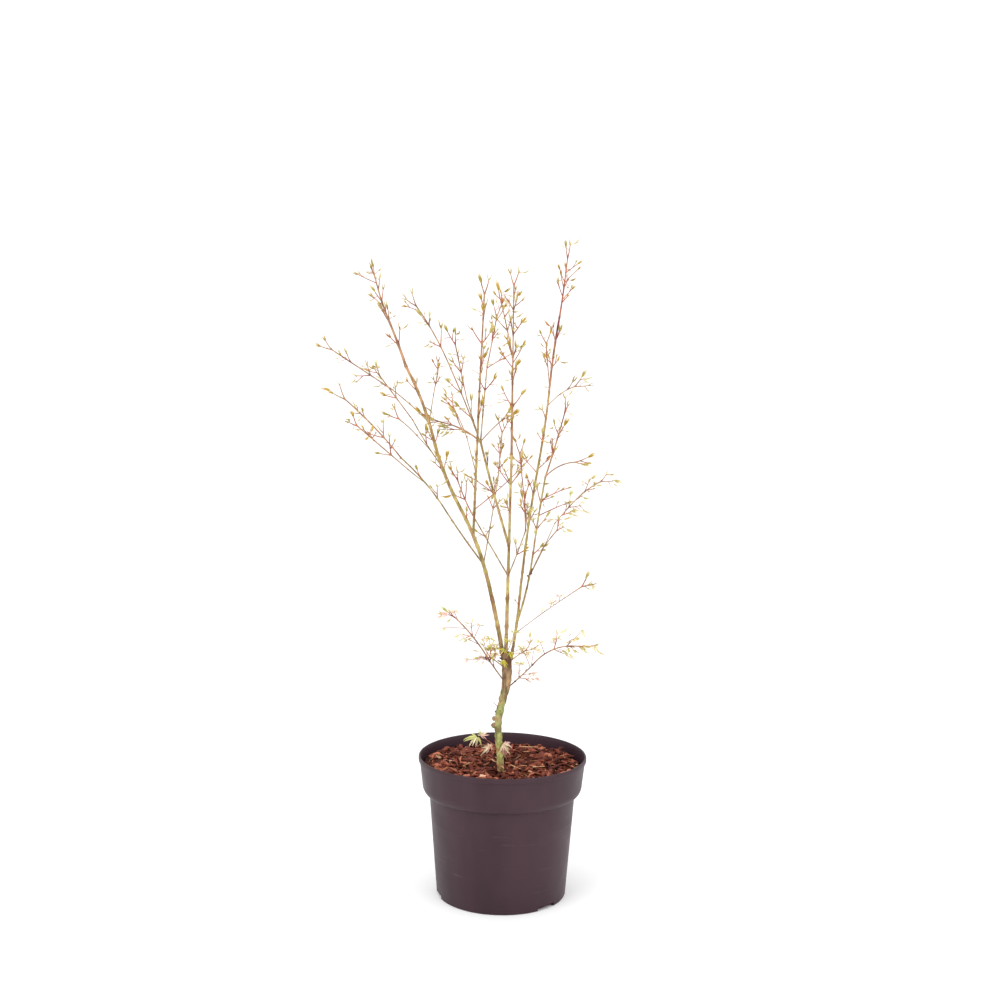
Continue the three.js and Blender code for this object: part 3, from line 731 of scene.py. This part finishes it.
class Finish:
    """A material in the making. Its patterns lie on Object coordinates, in metres."""

    def __init__(self, name, **constants):
        self.material = bpy.data.materials.new(name)
        self.material.use_nodes = True
        self.tree = self.material.node_tree
        self.shader = self.tree.nodes["Principled BSDF"]
        set_inputs(self.shader, **constants)
        self.place = self.tree.nodes.new("ShaderNodeTexCoord").outputs["Object"]

    def node(self, kind, inputs, output=0, **settings):
        """An output of a new node, whose inputs are linked, or set where they are plain values."""
        made = self.tree.nodes.new(kind)
        for setting, value in settings.items():
            setattr(made, setting, value)
        for socket, value in inputs.items():
            if isinstance(value, bpy.types.NodeSocket):
                self.tree.links.new(value, made.inputs[socket])
            else:
                made.inputs[socket].default_value = value
        return made.outputs[output]

    def noise(self, size, stretch=(1, 1, 1), detail=3):
        """A noise with blotches of about that size in metres, longer where the stretch is more."""
        scale = [1 / part for part in stretch]
        moved = self.node("ShaderNodeMapping", {"Vector": self.place, "Scale": scale})
        return self.node("ShaderNodeTexNoise", {"Vector": moved, "Scale": 0.5 / size, "Detail": detail})

    def axis(self, name):
        """Where a point lies along the X, Y or Z axis, in metres."""
        return self.node("ShaderNodeSeparateXYZ", {"Vector": self.place}, output=name)

    def maths(self, operation, first, second=0.0, third=0.0):
        return self.node("ShaderNodeMath", {0: first, 1: second, 2: third}, operation=operation)

    def rise(self, value, foot, top, most=1.0):
        """How far a value has come from one place to another: from nothing to the most."""
        return self.node("ShaderNodeMapRange", {0: value, 1: foot, 2: top, 4: most})

    def ramp(self, factor, low, high, dark, light):
        """A colour that turns from one to the other between two places of a factor."""
        made = self.node("ShaderNodeValToRGB", {"Fac": factor})
        for element, place, tone in zip(made.node.color_ramp.elements, (low, high), (dark, light)):
            element.position, element.color = place, colour(*tone)
        return made

    def mix(self, factor, under, over):
        """One tone over another. The upper one may be a plain colour."""
        over = colour(*over) if isinstance(over, tuple) else over
        return self.node("ShaderNodeMix", {0: factor, 6: under, 7: over}, output=2, data_type="RGBA")

    def finish(self, base, height, depth=0.0002, strength=0.6):
        """Wires the base colour and the bump."""
        bump = self.node("ShaderNodeBump", {"Height": height, "Distance": depth, "Strength": strength})
        self.tree.links.new(base, self.shader.inputs["Base Color"])
        self.tree.links.new(bump, self.shader.inputs["Normal"])
        return self.material


def pot_plastic():
    """Dark grey moulded plastic with a warm cast, faint flow marks and dust that settles in a few scuffs."""
    made = Finish("pot_plastic", Specular_IOR_Level=0.25)
    base = made.ramp(made.noise(0.03, stretch=(1, 1, 2.5)), 0.35, 0.65, (52, 35, 42), (62, 43, 50))
    scuffs = made.noise(0.006, stretch=(4, 4, 0.35), detail=6)
    base = made.mix(made.rise(scuffs, 0.66, 0.76, 0.25), base, (104, 92, 96))
    roughness = made.maths("MULTIPLY_ADD", made.noise(0.012, detail=5), 0.25, 0.34)
    made.tree.links.new(roughness, made.shader.inputs["Roughness"])
    return made.finish(base, made.noise(0.0008, detail=2), 0.00005, 0.35)


# The trunk's tones: where the lighter colour is full, and both colours.
TRUNK_TONES = {
    # pale: the trunk's green low down, partly its own pale green and partly painted light set against the
    # shade the pot casts there
    "pale": (0.62, (128, 134, 74), (202, 200, 122)),
    "green": (0.62, (84, 92, 46), (158, 164, 100)),
    "tan": (0.62, (88, 66, 44), (172, 142, 106)),
    "olive": (0.66, (126, 110, 60), (188, 170, 106)),
    "warm": (0.66, (136, 92, 68), (200, 150, 108)),
    "rose": (0.66, (96, 46, 52), (158, 88, 84)),
}
# What mottles a tone: how strongly, and both colours.
TRUNK_MOTTLES = {
    "green": (1, (104, 88, 54), (168, 136, 98)),
    "olive": (0.85, (124, 84, 54), (168, 136, 98)),
    "warm": (0.85, (106, 86, 46), (160, 136, 78)),
    "rose": (0.85, (118, 76, 50), (170, 122, 82)),
}
# Where each tone takes over from the one below: from which height to which, in metres.
TRUNK_BANDS = [
    ("green", 0.191, 0.205),
    ("tan", 0.237, 0.255),
    ("olive", 0.297, 0.32),
    ("warm", 0.495, 0.595),
]
# Where the trunk is brown or tan all round: how high, how far either way, and the colour.
TRUNK_PATCHES = [
    (0.147, 0.01, (150, 104, 74)),
    (0.167, 0.004, (190, 140, 92)),
    (0.192, 0.005, (124, 104, 72)),
    (0.203, 0.006, (172, 144, 104)),
    (0.269, 0.015, (88, 58, 42)),
]


def trunk_bark():
    """Green young bark with tan-brown patches and cracks, brown at the soil and at the fork. Low down, its
    green is partly its own pale green and partly painted light against the pot's shade.
    """
    made = Finish("trunk_bark", Roughness=0.72, IOR=1.4)
    streaks = made.noise(0.0035, stretch=(1, 1, 3), detail=5)
    tones = {name: made.ramp(streaks, 0.36, *tone) for name, tone in TRUNK_TONES.items()}
    patches = made.noise(0.005, stretch=(1, 1, 1.6), detail=4)
    for name, (most, dark, light) in TRUNK_MOTTLES.items():
        mottle = made.ramp(streaks, 0.36, 0.62, dark, light)
        tones[name] = made.mix(made.rise(patches, 0.48, 0.56, most), tones[name], mottle)
    high = made.maths("MULTIPLY_ADD", made.noise(0.012, detail=4), 0.03, made.axis("Z"))
    # the trunk's foot starts in the pale tone, which carries painted light against the pot's shade
    base = tones["pale"]
    for name, foot, top in TRUNK_BANDS:
        base = made.mix(made.rise(high, foot, top), base, tones[name])
    to_right = made.rise(made.axis("X"), 0.02, 0.04)
    share = made.maths("MULTIPLY", made.rise(high, 0.585, 0.6406), to_right)
    base = made.mix(share, base, tones["rose"])
    for place, reach, tone in TRUNK_PATCHES:
        off = made.maths("ABSOLUTE", made.maths("SUBTRACT", made.axis("Z"), place))
        base = made.mix(made.rise(off, reach, 0, 0.9), base, tone)
    base = made.mix(made.rise(made.noise(0.0016, detail=2), 0.62, 0.7, 0.6), base, (88, 56, 38))
    relief = made.maths("ADD", streaks, made.noise(0.0012, stretch=(1, 1, 0.5), detail=4))
    return made.finish(base, relief, 0.0005, 0.8)


def bough_bark():
    """Thin olive and tan bark that turns red-brown toward the tips, with fine streaks."""
    made = Finish("bough_bark", Roughness=0.6, IOR=1.4)
    streaks = made.noise(0.0025, stretch=(1, 1, 3), detail=4)
    base = made.ramp(streaks, 0.36, 0.66, (112, 80, 62), (170, 138, 108))
    olive = made.ramp(streaks, 0.36, 0.66, (114, 93, 58), (178, 154, 102))
    rose = made.ramp(streaks, 0.36, 0.66, (120, 74, 60), (176, 122, 94))
    high = made.maths("MULTIPLY_ADD", made.noise(0.02, detail=4), 0.08, made.axis("Z"))
    base = made.mix(made.rise(high, 0.36, 0.46), base, olive)
    base = made.mix(made.rise(high, 0.56, 0.685), base, rose)
    return made.finish(base, made.noise(0.001, stretch=(1, 1, 2)))


def twig_bark(name, dark, light):
    """Smooth thin bark of a young twig, darker in small patches."""
    made = Finish(name, Roughness=0.5, IOR=1.42)
    base = made.ramp(made.noise(0.004, stretch=(1, 1, 1.6), detail=4), 0.38, 0.64, dark, light)
    return made.finish(base, made.noise(0.0008), 0.0001, 0.5)


def leaf_finish(name, tone):
    """A thin young leaf of one tint, a little darker in blotches, with fine veins."""
    made = Finish(name, Roughness=0.48, IOR=1.42)
    shade = 0.9035
    base = made.ramp(made.noise(0.0025), 0.4, 0.62, [value * shade for value in tone], tone)
    return made.finish(base, made.noise(0.0006, stretch=(1, 1, 2)), 0.00008, 0.5)


def chip_finish(name, dark, light):
    """A shred of composted bark: fibrous, matt and darker in its cracks."""
    made = Finish(name, Roughness=0.8, Specular_IOR_Level=0.25)
    base = made.ramp(made.noise(0.0025, stretch=(1, 2.2, 1)), 0.3, 0.6, dark, light)
    return made.finish(base, made.noise(0.0007, stretch=(1, 2, 1), detail=4), 0.0003)


# Each kind of thin wood: its material, its tubes' roundness, and its dark and its light colour.
THIN_WOOD = {
    "twigs": ("young_twigs", 1, (118, 82, 60), (182, 138, 100)),
    "red_twigs": ("red_twigs", 1, (126, 60, 48), (184, 108, 77)),
    "node_buds": ("node_buds", 0, (92, 50, 40), (160, 92, 68)),
    "snags": ("snags", 2, (48, 28, 24), (112, 66, 50)),
    "leaf_stalks": ("leaf_stalks", 0, (160, 96, 78), (204, 150, 108)),
}
LEAF_TINTS = {
    "gold": (196, 162, 66),
    "straw": (206, 190, 118),
    "olive": (178, 158, 76),
    "rust": (184, 126, 70),
    "lime": (204, 204, 124),
    "bright": (206, 194, 60),
    "cream": (240, 222, 174),
    "blush": (234, 184, 166),
    # ivory and rosy: cream and blush made paler with painted light, for the leaves that hang in the pot's
    # shade
    "ivory": (252, 236, 192),
    "rosy": (250, 202, 188),
}
# The chips' tones: how many chips have it, and its dark and its light colour.
CHIP_TONES = {
    "dark": (5.5, (52, 20, 13), (88, 40, 30)),
    "brown": (4.5, (80, 36, 26), (120, 62, 49)),
    "russet": (4, (98, 46, 35), (148, 80, 61)),
    "orange": (3, (128, 70, 52), (186, 113, 86)),
    "pale": (0.8, (168, 118, 87), (226, 184, 150)),
}

# ---- Meshes ----


def linked(name, data):
    """A new object in the scene."""
    made = bpy.data.objects.new(name, data)
    bpy.context.scene.collection.objects.link(made)
    return made


def add_piece(name, mesh, materials, replaces=()):
    """A finished piece of the plant, which rides on the frame's one body."""
    piece = linked(name, mesh)
    for material in materials:
        mesh.materials.append(material)
    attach(piece, "root")
    if replaces:
        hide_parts(*replaces)


def smoothed(mesh):
    mesh.polygons.foreach_set("use_smooth", [True] * len(mesh.polygons))
    return mesh


def finished_mesh(bm, name):
    """The bmesh as a smooth mesh. The bmesh is freed."""
    mesh = bpy.data.meshes.new(name)
    bm.to_mesh(mesh)
    bm.free()
    return smoothed(mesh)


def mesh_of(holder):
    """The smooth mesh that an object comes to with its modifiers. The object is removed."""
    mesh = bpy.data.meshes.new_from_object(holder.evaluated_get(bpy.context.evaluated_depsgraph_get()))
    bpy.data.objects.remove(holder)
    return smoothed(mesh)


def with_modifier(mesh, kind, **settings):
    """A new mesh: the given one with a modifier applied."""
    holder = linked(mesh.name, mesh)
    modifier = holder.modifiers.new(kind, kind)
    for setting, value in settings.items():
        setattr(modifier, setting, value)
    return mesh_of(holder)


def tubes(name, paths, resolution):
    """A mesh of round tubes with closed ends, one along each path of points and radii."""
    curve = bpy.data.curves.new(name, "CURVE")
    curve.dimensions = "3D"
    curve.bevel_depth = 1
    curve.bevel_resolution = resolution
    curve.use_fill_caps = True
    for path in paths:
        spline = curve.splines.new("POLY")
        spline.points.add(len(path) - 1)
        for spot, (point, radius) in zip(spline.points, path):
            spot.co = (*(point * MM), 1)
            spot.radius = radius * MM
    return mesh_of(linked(name, curve))


def joined(name, places):
    """One mesh of many small ones: each a template mesh, a place and a material's index."""
    bm = bmesh.new()
    for template, place, index in places:
        copy = template.copy()
        copy.transform(place)
        copy.polygons.foreach_set("material_index", [index] * len(copy.polygons))
        bm.from_mesh(copy)
        bpy.data.meshes.remove(copy)
    return finished_mesh(bm, name)


# ---- Wood ----


def limb_path(limb, swelling=NODE_SWELL, collar=COLLAR_SWELL, stout=(1, 1)):
    """A bough's points and radii, thicker round its nodes and where it leaves its parent."""
    nodes = node_swell(limb, NODE_SPACING, swelling)

    def girth(share):
        foot = collar * math.exp(-share * limb.length / COLLAR_REACH)
        return (nodes(share) + foot) * value_at(stout, share)

    return limb.path(girth)


def knob_paths(trunk):
    """The two pruned knobs on the trunk's left, each a short fat stub with a rounded end."""
    paths = []
    for at, toward, radius in KNOBS:
        start, out = trunk.point_at(at), heading(80, toward)
        reach = value_at(trunk.girths, at) + KNOB_STAND
        profile = [(0, 1.2)]
        profile += [(reach + radius * further, girth) for further, girth in KNOB_PROFILE]
        paths.append([(start + out * along, radius * share) for along, share in profile])
    return paths


# A knob from its neck to its tip: how far past its middle and how thick, as shares of its radius.
KNOB_PROFILE = [(-1, 0.8), (-0.4, 1), (0.4, 1), (0.8, 0.7), (1.05, 0.25)]


def root_flare(bm):
    """Swells the trunk's foot into lobes that die away upward."""
    top = TRUNK["length"] * TRUNK["root_flare"]
    centre = Vector((*TRUNK["foot"], 0))
    for vert in bm.verts:
        high = vert.co.z / MM - BARK_PATCH_TOP
        if high < top:
            out = Vector((vert.co.x, vert.co.y, 0)) / MM - centre
            around = math.atan2(out.y, out.x) + math.radians(90)
            lobe = TRUNK["root_lobe_depth"] * (1 - high / top) * math.cos(TRUNK["root_lobes"] * around)
            vert.co += out * lobe * MM


def roughen(bm, trunk_top):
    """Raises and sinks the bark in long streaks, more on the trunk than on the stems."""
    bm.normal_update()
    for vert in bm.verts:
        grain = Vector((vert.co.x, vert.co.y, vert.co.z * 0.4)) / (1.8 * MM)
        lumps = vert.co / (5 * MM)
        depth = ROUGH_TRUNK if vert.co.z < trunk_top else ROUGH_STEMS
        raised = noise.noise(grain) * depth + noise.noise(lumps) * depth * 1.3
        vert.co += vert.normal * raised * MM


def stout_path(name, limb):
    """A stout stem's path, with its own share of the source's girth."""
    return limb_path(limb, NODE_SWELL * 0.8, 0.25, GIRTH_SHARES.get(name, [1, 1]))


def before_remesh(paths):
    """The paths with what remeshing takes off added to their radii."""
    return [[(point, radius + REMESH_LOSS) for point, radius in path] for path in paths]


def stout_wood(limbs):
    """The trunk and the stout stems as one skin, so that the forks run smoothly into each other."""
    trunk = limbs["trunk"]
    paths = [trunk.path(node_swell(trunk, *TRUNK_NODES)), *knob_paths(trunk)]
    paths += [stout_path(name, limbs[name]) for name in STOUT_LIMBS]
    mesh = tubes("stout_wood", before_remesh(paths), 4)
    mesh = with_modifier(mesh, "REMESH", mode="VOXEL", voxel_size=VOXEL * MM)
    bm = bmesh.new()
    bm.from_mesh(mesh)
    for _ in range(2):
        every_way = {"use_axis_x": True, "use_axis_y": True, "use_axis_z": True}
        bmesh.ops.smooth_vert(bm, verts=bm.verts, factor=0.5, **every_way)
    root_flare(bm)
    roughen(bm, trunk.points[-1].z * MM)
    return finished_mesh(bm, "stout_wood")


def make_wood(limbs):
    """The trunk with its stout stems, the knobs' ends and the thin boughs, each a piece."""
    knobs = before_remesh([path[2:] for path in knob_paths(limbs["trunk"])])
    tan = twig_bark("knob_bark", (104, 74, 58), (184, 142, 116))
    add_piece("knob_bark", tubes("knob_bark", knobs, 4), [tan], ["trunk"])
    add_piece("trunk_and_stems", stout_wood(limbs), [trunk_bark()], ["trunk", *STOUT_LIMBS])
    thin = [name for name in limbs if name not in ["trunk", *STOUT_LIMBS]]
    mesh = tubes("thin_wood", [limb_path(limbs[name]) for name in thin], 2)
    add_piece("thin_boughs", mesh, [bough_bark()], thin)


# ---- Leaves ----

# A leaf's lobes: length, width and turn of each, with the leaf's fold and sag, for a leaf one unit long.
LEAF_FORMS = {
    "bud": ([(1, 0.2, 0), (0.85, 0.18, 12)], 0.5, 0.05),
    "furled": ([(1, 0.105, 0), (0.86, 0.09, 7.5), (0.8, 0.09, -8)], 0.4, 0.12),
    "sliver": ([(1, 0.22, 0), (0.75, 0.16, 13)], 0.5, 0.4),
    "opening": ([(1, 0.19, 0), (0.86, 0.16, 14), (0.76, 0.16, -17)], 0.4, 0.6),
    "lobe": ([(1, 0.17, 0)], 0.4, 0.45),
}


def leaf_template(form):
    """A leaf one unit long, out along +Y: narrow folded lobes, from grids drawn in to points."""
    lobes, fold, sag = LEAF_FORMS[form]
    bm = bmesh.new()
    for length, width, turn in lobes:
        verts = bmesh.ops.create_grid(bm, x_segments=2, y_segments=4, size=0.5)["verts"]
        for vert in verts:
            along = vert.co.y + 0.5
            breadth = width * math.sin(math.pi * along**0.8) * 2 * vert.co.x
            vert.co = Vector((breadth / 2, along * length, abs(breadth) * fold - sag * (along * length) ** 2))
        turned = Matrix.Rotation(math.radians(turn), 3, "Z")
        bmesh.ops.rotate(bm, verts=verts, cent=(0, 0, 0), matrix=turned)
    bmesh.ops.remove_doubles(bm, verts=bm.verts, dist=1e-4)
    return finished_mesh(bm, form)


def make_foliage(foliage):
    """The thin wood and the leaves, each kind a piece, in place of the masses."""
    masses = list(MASSES)
    for kind, (finish_name, roundness, dark, light) in THIN_WOOD.items():
        mesh = tubes(kind, foliage.paths[kind], roundness)
        add_piece(kind, mesh, [twig_bark(finish_name, dark, light)], masses)
    templates = {form: leaf_template(form) for form in LEAF_FORMS}
    for tint, tone in LEAF_TINTS.items():
        places = [
            (templates[form], place, 0)
            for (form, own_tint), spots in foliage.leaves.items()
            if own_tint == tint
            for place in spots
        ]
        name = f"leaves_{tint}"
        add_piece(name, joined(name, places), [leaf_finish(f"leaf_{tint}", tone)], masses)


# ---- Pot ----


def body_point(share):
    """A point up the pot's tapered body, with a faint raised line three quarters up."""
    line = 0.08 if share == 0.755 else 0
    radius = lerp(POT["foot_radius"], POT["body_top_radius"], share) + line
    return radius, lerp(POT["corner"], POT["body_top"], share)


def shoulder(turn, inset):
    """A point on the curve between the body and the band."""
    angle = math.radians(turn)
    radius = lerp(POT["body_top_radius"], POT["band_foot_radius"], math.sin(angle)) - inset
    return radius, lerp(POT["band_foot"], POT["body_top"], math.cos(angle))


def pot_profile():
    """The pot's outline from its axis underneath, up the outside and down the inside, in millimetres."""
    corner, wall, height = POT["corner"], POT["wall"], POT["height"]
    rim, foot, band, band_top = POT["rim_radius"], POT["foot_radius"], POT["band_top_radius"], POT["band_top"]
    outline = [(0, 0), (foot - corner, 0), (foot - 0.4, 0.4), (foot, corner)]
    outline += [body_point(share) for share in (0.25, 0.5, 0.75, 0.755, 0.76, 0.97)]
    outline += [shoulder(turn, 0) for turn in range(0, 91, 10)]
    outline += [(band, band_top), (rim - 0.3, band_top + 0.5), (rim, band_top + corner)]
    outline += [(rim, height - 1.2), (rim - 0.5, height - 0.3), (rim - 1.1, height)]
    outline += [(rim - wall - 0.5, height - 0.2), (rim - wall - 0.9, height - 0.9), (band - wall, band_top)]
    outline += [shoulder(turn, wall) for turn in range(90, -1, -15)]
    return outline + [(foot - wall, POT["floor"]), (0, POT["floor"])]


def notch_mesh():
    """The blocks that cut the pot's foot."""
    bm = bmesh.new()
    for index in range(NOTCH["count"]):
        verts = bmesh.ops.create_cube(bm, size=1)["verts"]
        size = Vector((NOTCH["width"] / 2, NOTCH["width"], 2 * NOTCH["height"])) * MM
        bmesh.ops.scale(bm, verts=verts, vec=size)
        bmesh.ops.translate(bm, verts=verts, vec=(POT["foot_radius"] * MM, 0, 0))
        turn = math.radians(NOTCH["first"] + 360 * index / NOTCH["count"])
        bmesh.ops.rotate(bm, verts=verts, cent=(0, 0, 0), matrix=Matrix.Rotation(turn, 3, "Z"))
    return finished_mesh(bm, "notches")


def make_pot():
    """The pot, spun from its profile, with three notches cut in its foot."""
    bm = bmesh.new()
    spots = [bm.verts.new((radius * MM, 0, z * MM)) for radius, z in pot_profile()]
    edges = [bm.edges.new(pair) for pair in zip(spots, spots[1:])]
    round_up = {"cent": (0, 0, 0), "axis": (0, 0, 1), "angle": math.tau, "steps": 144, "use_merge": True}
    bmesh.ops.spin(bm, geom=spots + edges, **round_up)
    bmesh.ops.remove_doubles(bm, verts=bm.verts, dist=1e-6)
    bmesh.ops.recalc_face_normals(bm, faces=bm.faces)
    shell = finished_mesh(bm, "pot_shell")
    cutter = linked("notch_cutter", notch_mesh())
    shell = with_modifier(shell, "BOOLEAN", object=cutter, operation="DIFFERENCE", solver="EXACT")
    bpy.data.objects.remove(cutter)
    shell.set_sharp_from_angle(angle=math.radians(30))
    add_piece("pot_shell", shell, [pot_plastic()], ["pot"])


# ---- Bark compost ----

# How many chips of a size there are, their shortest and longest, and how high they lie.
CHIP_ROWS = [(1500, 4, 9, 1), (850, 8, 18, 4)]
CHIP_SHAPES = [(0.42, 0.08, 0.6), (0.26, 0.07, 1.3), (0.5, 0.1, 0.3), (0.18, 0.07, 0.4), (0.34, 0.08, -0.7)]
BARK_EDGE = 89  # how far out the chips and the fibres reach
FLAT_BARK = 22  # how far round the trunk the chips lie flatter
FIBRES = 280
# The long pale splinters: where each starts and how far above the bed, its bearing, lean and length.
LONG_SPLINTERS = [
    (-1, -12, 12, -48, 110, 26),
    (9, -22, 9, -45, 94, 16),
    (20, 60, 9, 0, 90, 22),
    (34, -30, 8, 20, 92, 14),
    (-44, -18, 6, 60, 90, 15),
    (28, -52, 5, -30, 92, 12),
]


def chip_template(seed, width, thickness, bend):
    """A torn flat chip one unit long: a ragged grid, bent and given its thickness."""
    bm = bmesh.new()
    bmesh.ops.create_grid(bm, x_segments=3, y_segments=2, size=0.5)
    for vert in bm.verts:
        ragged = noise.noise_vector(vert.co * 3 + Vector((seed * 7.3, seed * 2.1, 0)))
        taper = 1 - 0.5 * abs(vert.co.x * 2) ** 2
        along, across = vert.co.x + ragged.x * 0.18, (vert.co.y + ragged.y * 0.35) * width * taper
        vert.co = Vector((along, across, bend * (0.25 - along**2) + ragged.z * 0.12))
    bmesh.ops.solidify(bm, geom=bm.faces[:], thickness=thickness)
    bmesh.ops.recalc_face_normals(bm, faces=bm.faces)
    return finished_mesh(bm, f"chip_{seed}")


def thrown(random, reach):
    """A chance place within so far of the pot's axis."""
    radius, turn = math.sqrt(random()) * reach, random(0, math.tau)
    return radius * math.cos(turn), radius * math.sin(turn)


def bark_height(bed, x, y):
    """How high the loose bark stands at a point, in millimetres. It is heaped up to the right."""
    hit, place, _, _ = bed.ray_cast(Vector((x, y, 200)) * MM, Vector((0, 0, -1)))
    heaped = 5 * min(max((x - 15) / 60, 0), 1)
    return heaped + (place.z / MM if hit else BARK_PATCH_TOP)


def make_chips(bed):
    """Chips of bark, thrown on the bed and tilted every way."""
    random = seeded_random(CHIP_SEED)
    noise.seed_set(NOISE_SEED)
    templates = [chip_template(seed, *shape) for seed, shape in enumerate(CHIP_SHAPES, start=1)]
    tones = list(CHIP_TONES)
    weights = {tone: CHIP_TONES[tone][0] for tone in tones}
    places = []
    for count, shortest, longest, lift in CHIP_ROWS:
        for _ in range(count):
            length = lerp(shortest, longest, random() ** 2)
            x, y = thrown(random, BARK_EDGE - length * 0.55)
            template = templates[int(random() * len(templates))]
            from_trunk = math.dist((x, y), TRUNK["foot"])
            loose = 1 if from_trunk > FLAT_BARK else 0.3
            roll, pitch = random(-0.9, 0.9) * loose, random(-0.6, 0.6) * loose
            tilt = Euler([roll, pitch, random(0, math.tau)])
            tone = pick_tint(random, weights)
            size = length * (0.6 if tone == "pale" else 1) * MM
            z = bark_height(bed, x, y) + random(-0.5, lift * loose)
            if from_trunk < 3.6 + length * 0.3:
                continue
            turned = tilt.to_matrix().to_4x4() @ Matrix.Scale(size, 4)
            place = Matrix.Translation(Vector((x, y, z)) * MM) @ turned
            places.append((template, place, tones.index(tone)))
    finishes = [chip_finish(f"chip_{tone}", dark, light) for tone, (_, dark, light) in CHIP_TONES.items()]
    add_piece("bark_chips", joined("bark_chips", places), finishes)


def make_fibres(bed):
    """Thin fibres, one in four of them pale, and the few long pale splinters that lie on top."""
    random = seeded_random(FIBRE_SEED)
    dull, pale = [], []
    for index in range(FIBRES):
        bearing, length = random(0, 360), random(6, 16)
        x, y = thrown(random, BARK_EDGE - length)
        start = Vector((x, y, bark_height(bed, x, y) + random(1.5, 3.5)))
        along, girth = heading(random(80, 95), bearing), random(0.25, 0.5)
        bend = heading(90, bearing + 90) * random(-0.2, 0.2) * length
        shares = (0, 0.33, 0.67, 1)
        path = [(start + along * length * share + bend * share * share, girth) for share in shares]
        (dull if index % 4 else pale).append(path)
    for x, y, lift, toward, lean, length in LONG_SPLINTERS:
        start = Vector((x, y, bark_height(bed, x, y) + lift))
        along = heading(lean, toward) * length
        pale.append([(start + along * share, 0.75 * (1 - 0.5 * share)) for share in (0, 0.5, 1)])
    dull_finish = chip_finish("dull_fibre", (70, 38, 28), (128, 74, 50))
    pale_finish = chip_finish("pale_fibre", (150, 98, 66), (214, 170, 124))
    add_piece("bark_fibres", tubes("bark_fibres", dull, 0), [dull_finish])
    add_piece("pale_splinters", tubes("pale_splinters", pale, 0), [pale_finish])


def make_bark():
    """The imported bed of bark, darker than what lies on it, with its chips and fibres."""
    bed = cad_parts["bark_fill"]
    finish = chip_finish("bark_bed", (44, 24, 20), (78, 44, 34))
    for material_slot in bed.material_slots:
        material_slot.material = finish
    make_chips(bed)
    make_fibres(bed)


# ---- Stage ----

# Each light's name, place, size and power.
SOFT_LIGHTS = [("key_light", (-1.6, -1.8, 2.2), 1.6, 28), ("fill_light", (1.8, -1.4, 1.4), 1.8, 12)]


def make_stage():
    """A plain pale floor, a white surround and two soft lights."""
    bm = bmesh.new()
    bmesh.ops.create_grid(bm, x_segments=1, y_segments=1, size=6)
    floor = linked("floor", finished_mesh(bm, "floor"))
    pale = bpy.data.materials.new("floor")
    pale.use_nodes = True
    shader = pale.node_tree.nodes["Principled BSDF"]
    set_inputs(shader, Base_Color=(0.97, 0.97, 0.97, 1), Roughness=0.9)
    floor.data.materials.append(pale)
    world = bpy.data.worlds.new("surround")
    world.use_nodes = True
    set_inputs(world.node_tree.nodes["Background"], Color=(1, 1, 1, 1), Strength=1.2)
    bpy.context.scene.world = world
    for name, place, size, power in SOFT_LIGHTS:
        light = bpy.data.lights.new(name, "AREA")
        light.size, light.energy = size, power
        holder = linked(name, light)
        holder.location = place
        holder.rotation_euler = (Vector((0, 0, 0.4)) - Vector(place)).to_track_quat("-Z", "Y").to_euler()


def make_camera():
    """The camera a little above the pot, tipped slightly down."""
    data = bpy.data.cameras.new("camera")
    data.sensor_width, data.lens = 36, 52.43
    data.clip_start, data.clip_end = 0.05, 50
    camera = linked("camera", data)
    camera.location = (0, -1.6096, 0.6275)
    down, roll, turn = math.radians(6.29), math.radians(0.67), math.radians(0.221)
    level = Euler((math.pi / 2 - down, 0, turn)).to_matrix()
    camera.rotation_euler = (level @ Matrix.Rotation(roll, 3, "Z")).to_euler()
    bpy.context.scene.camera = camera


bpy.context.scene.view_settings.view_transform = "Standard"
make_camera()
make_stage()
tree_limbs, tree_foliage = grow_tree()
make_pot()
make_bark()
make_wood(tree_limbs)
make_foliage(tree_foliage)
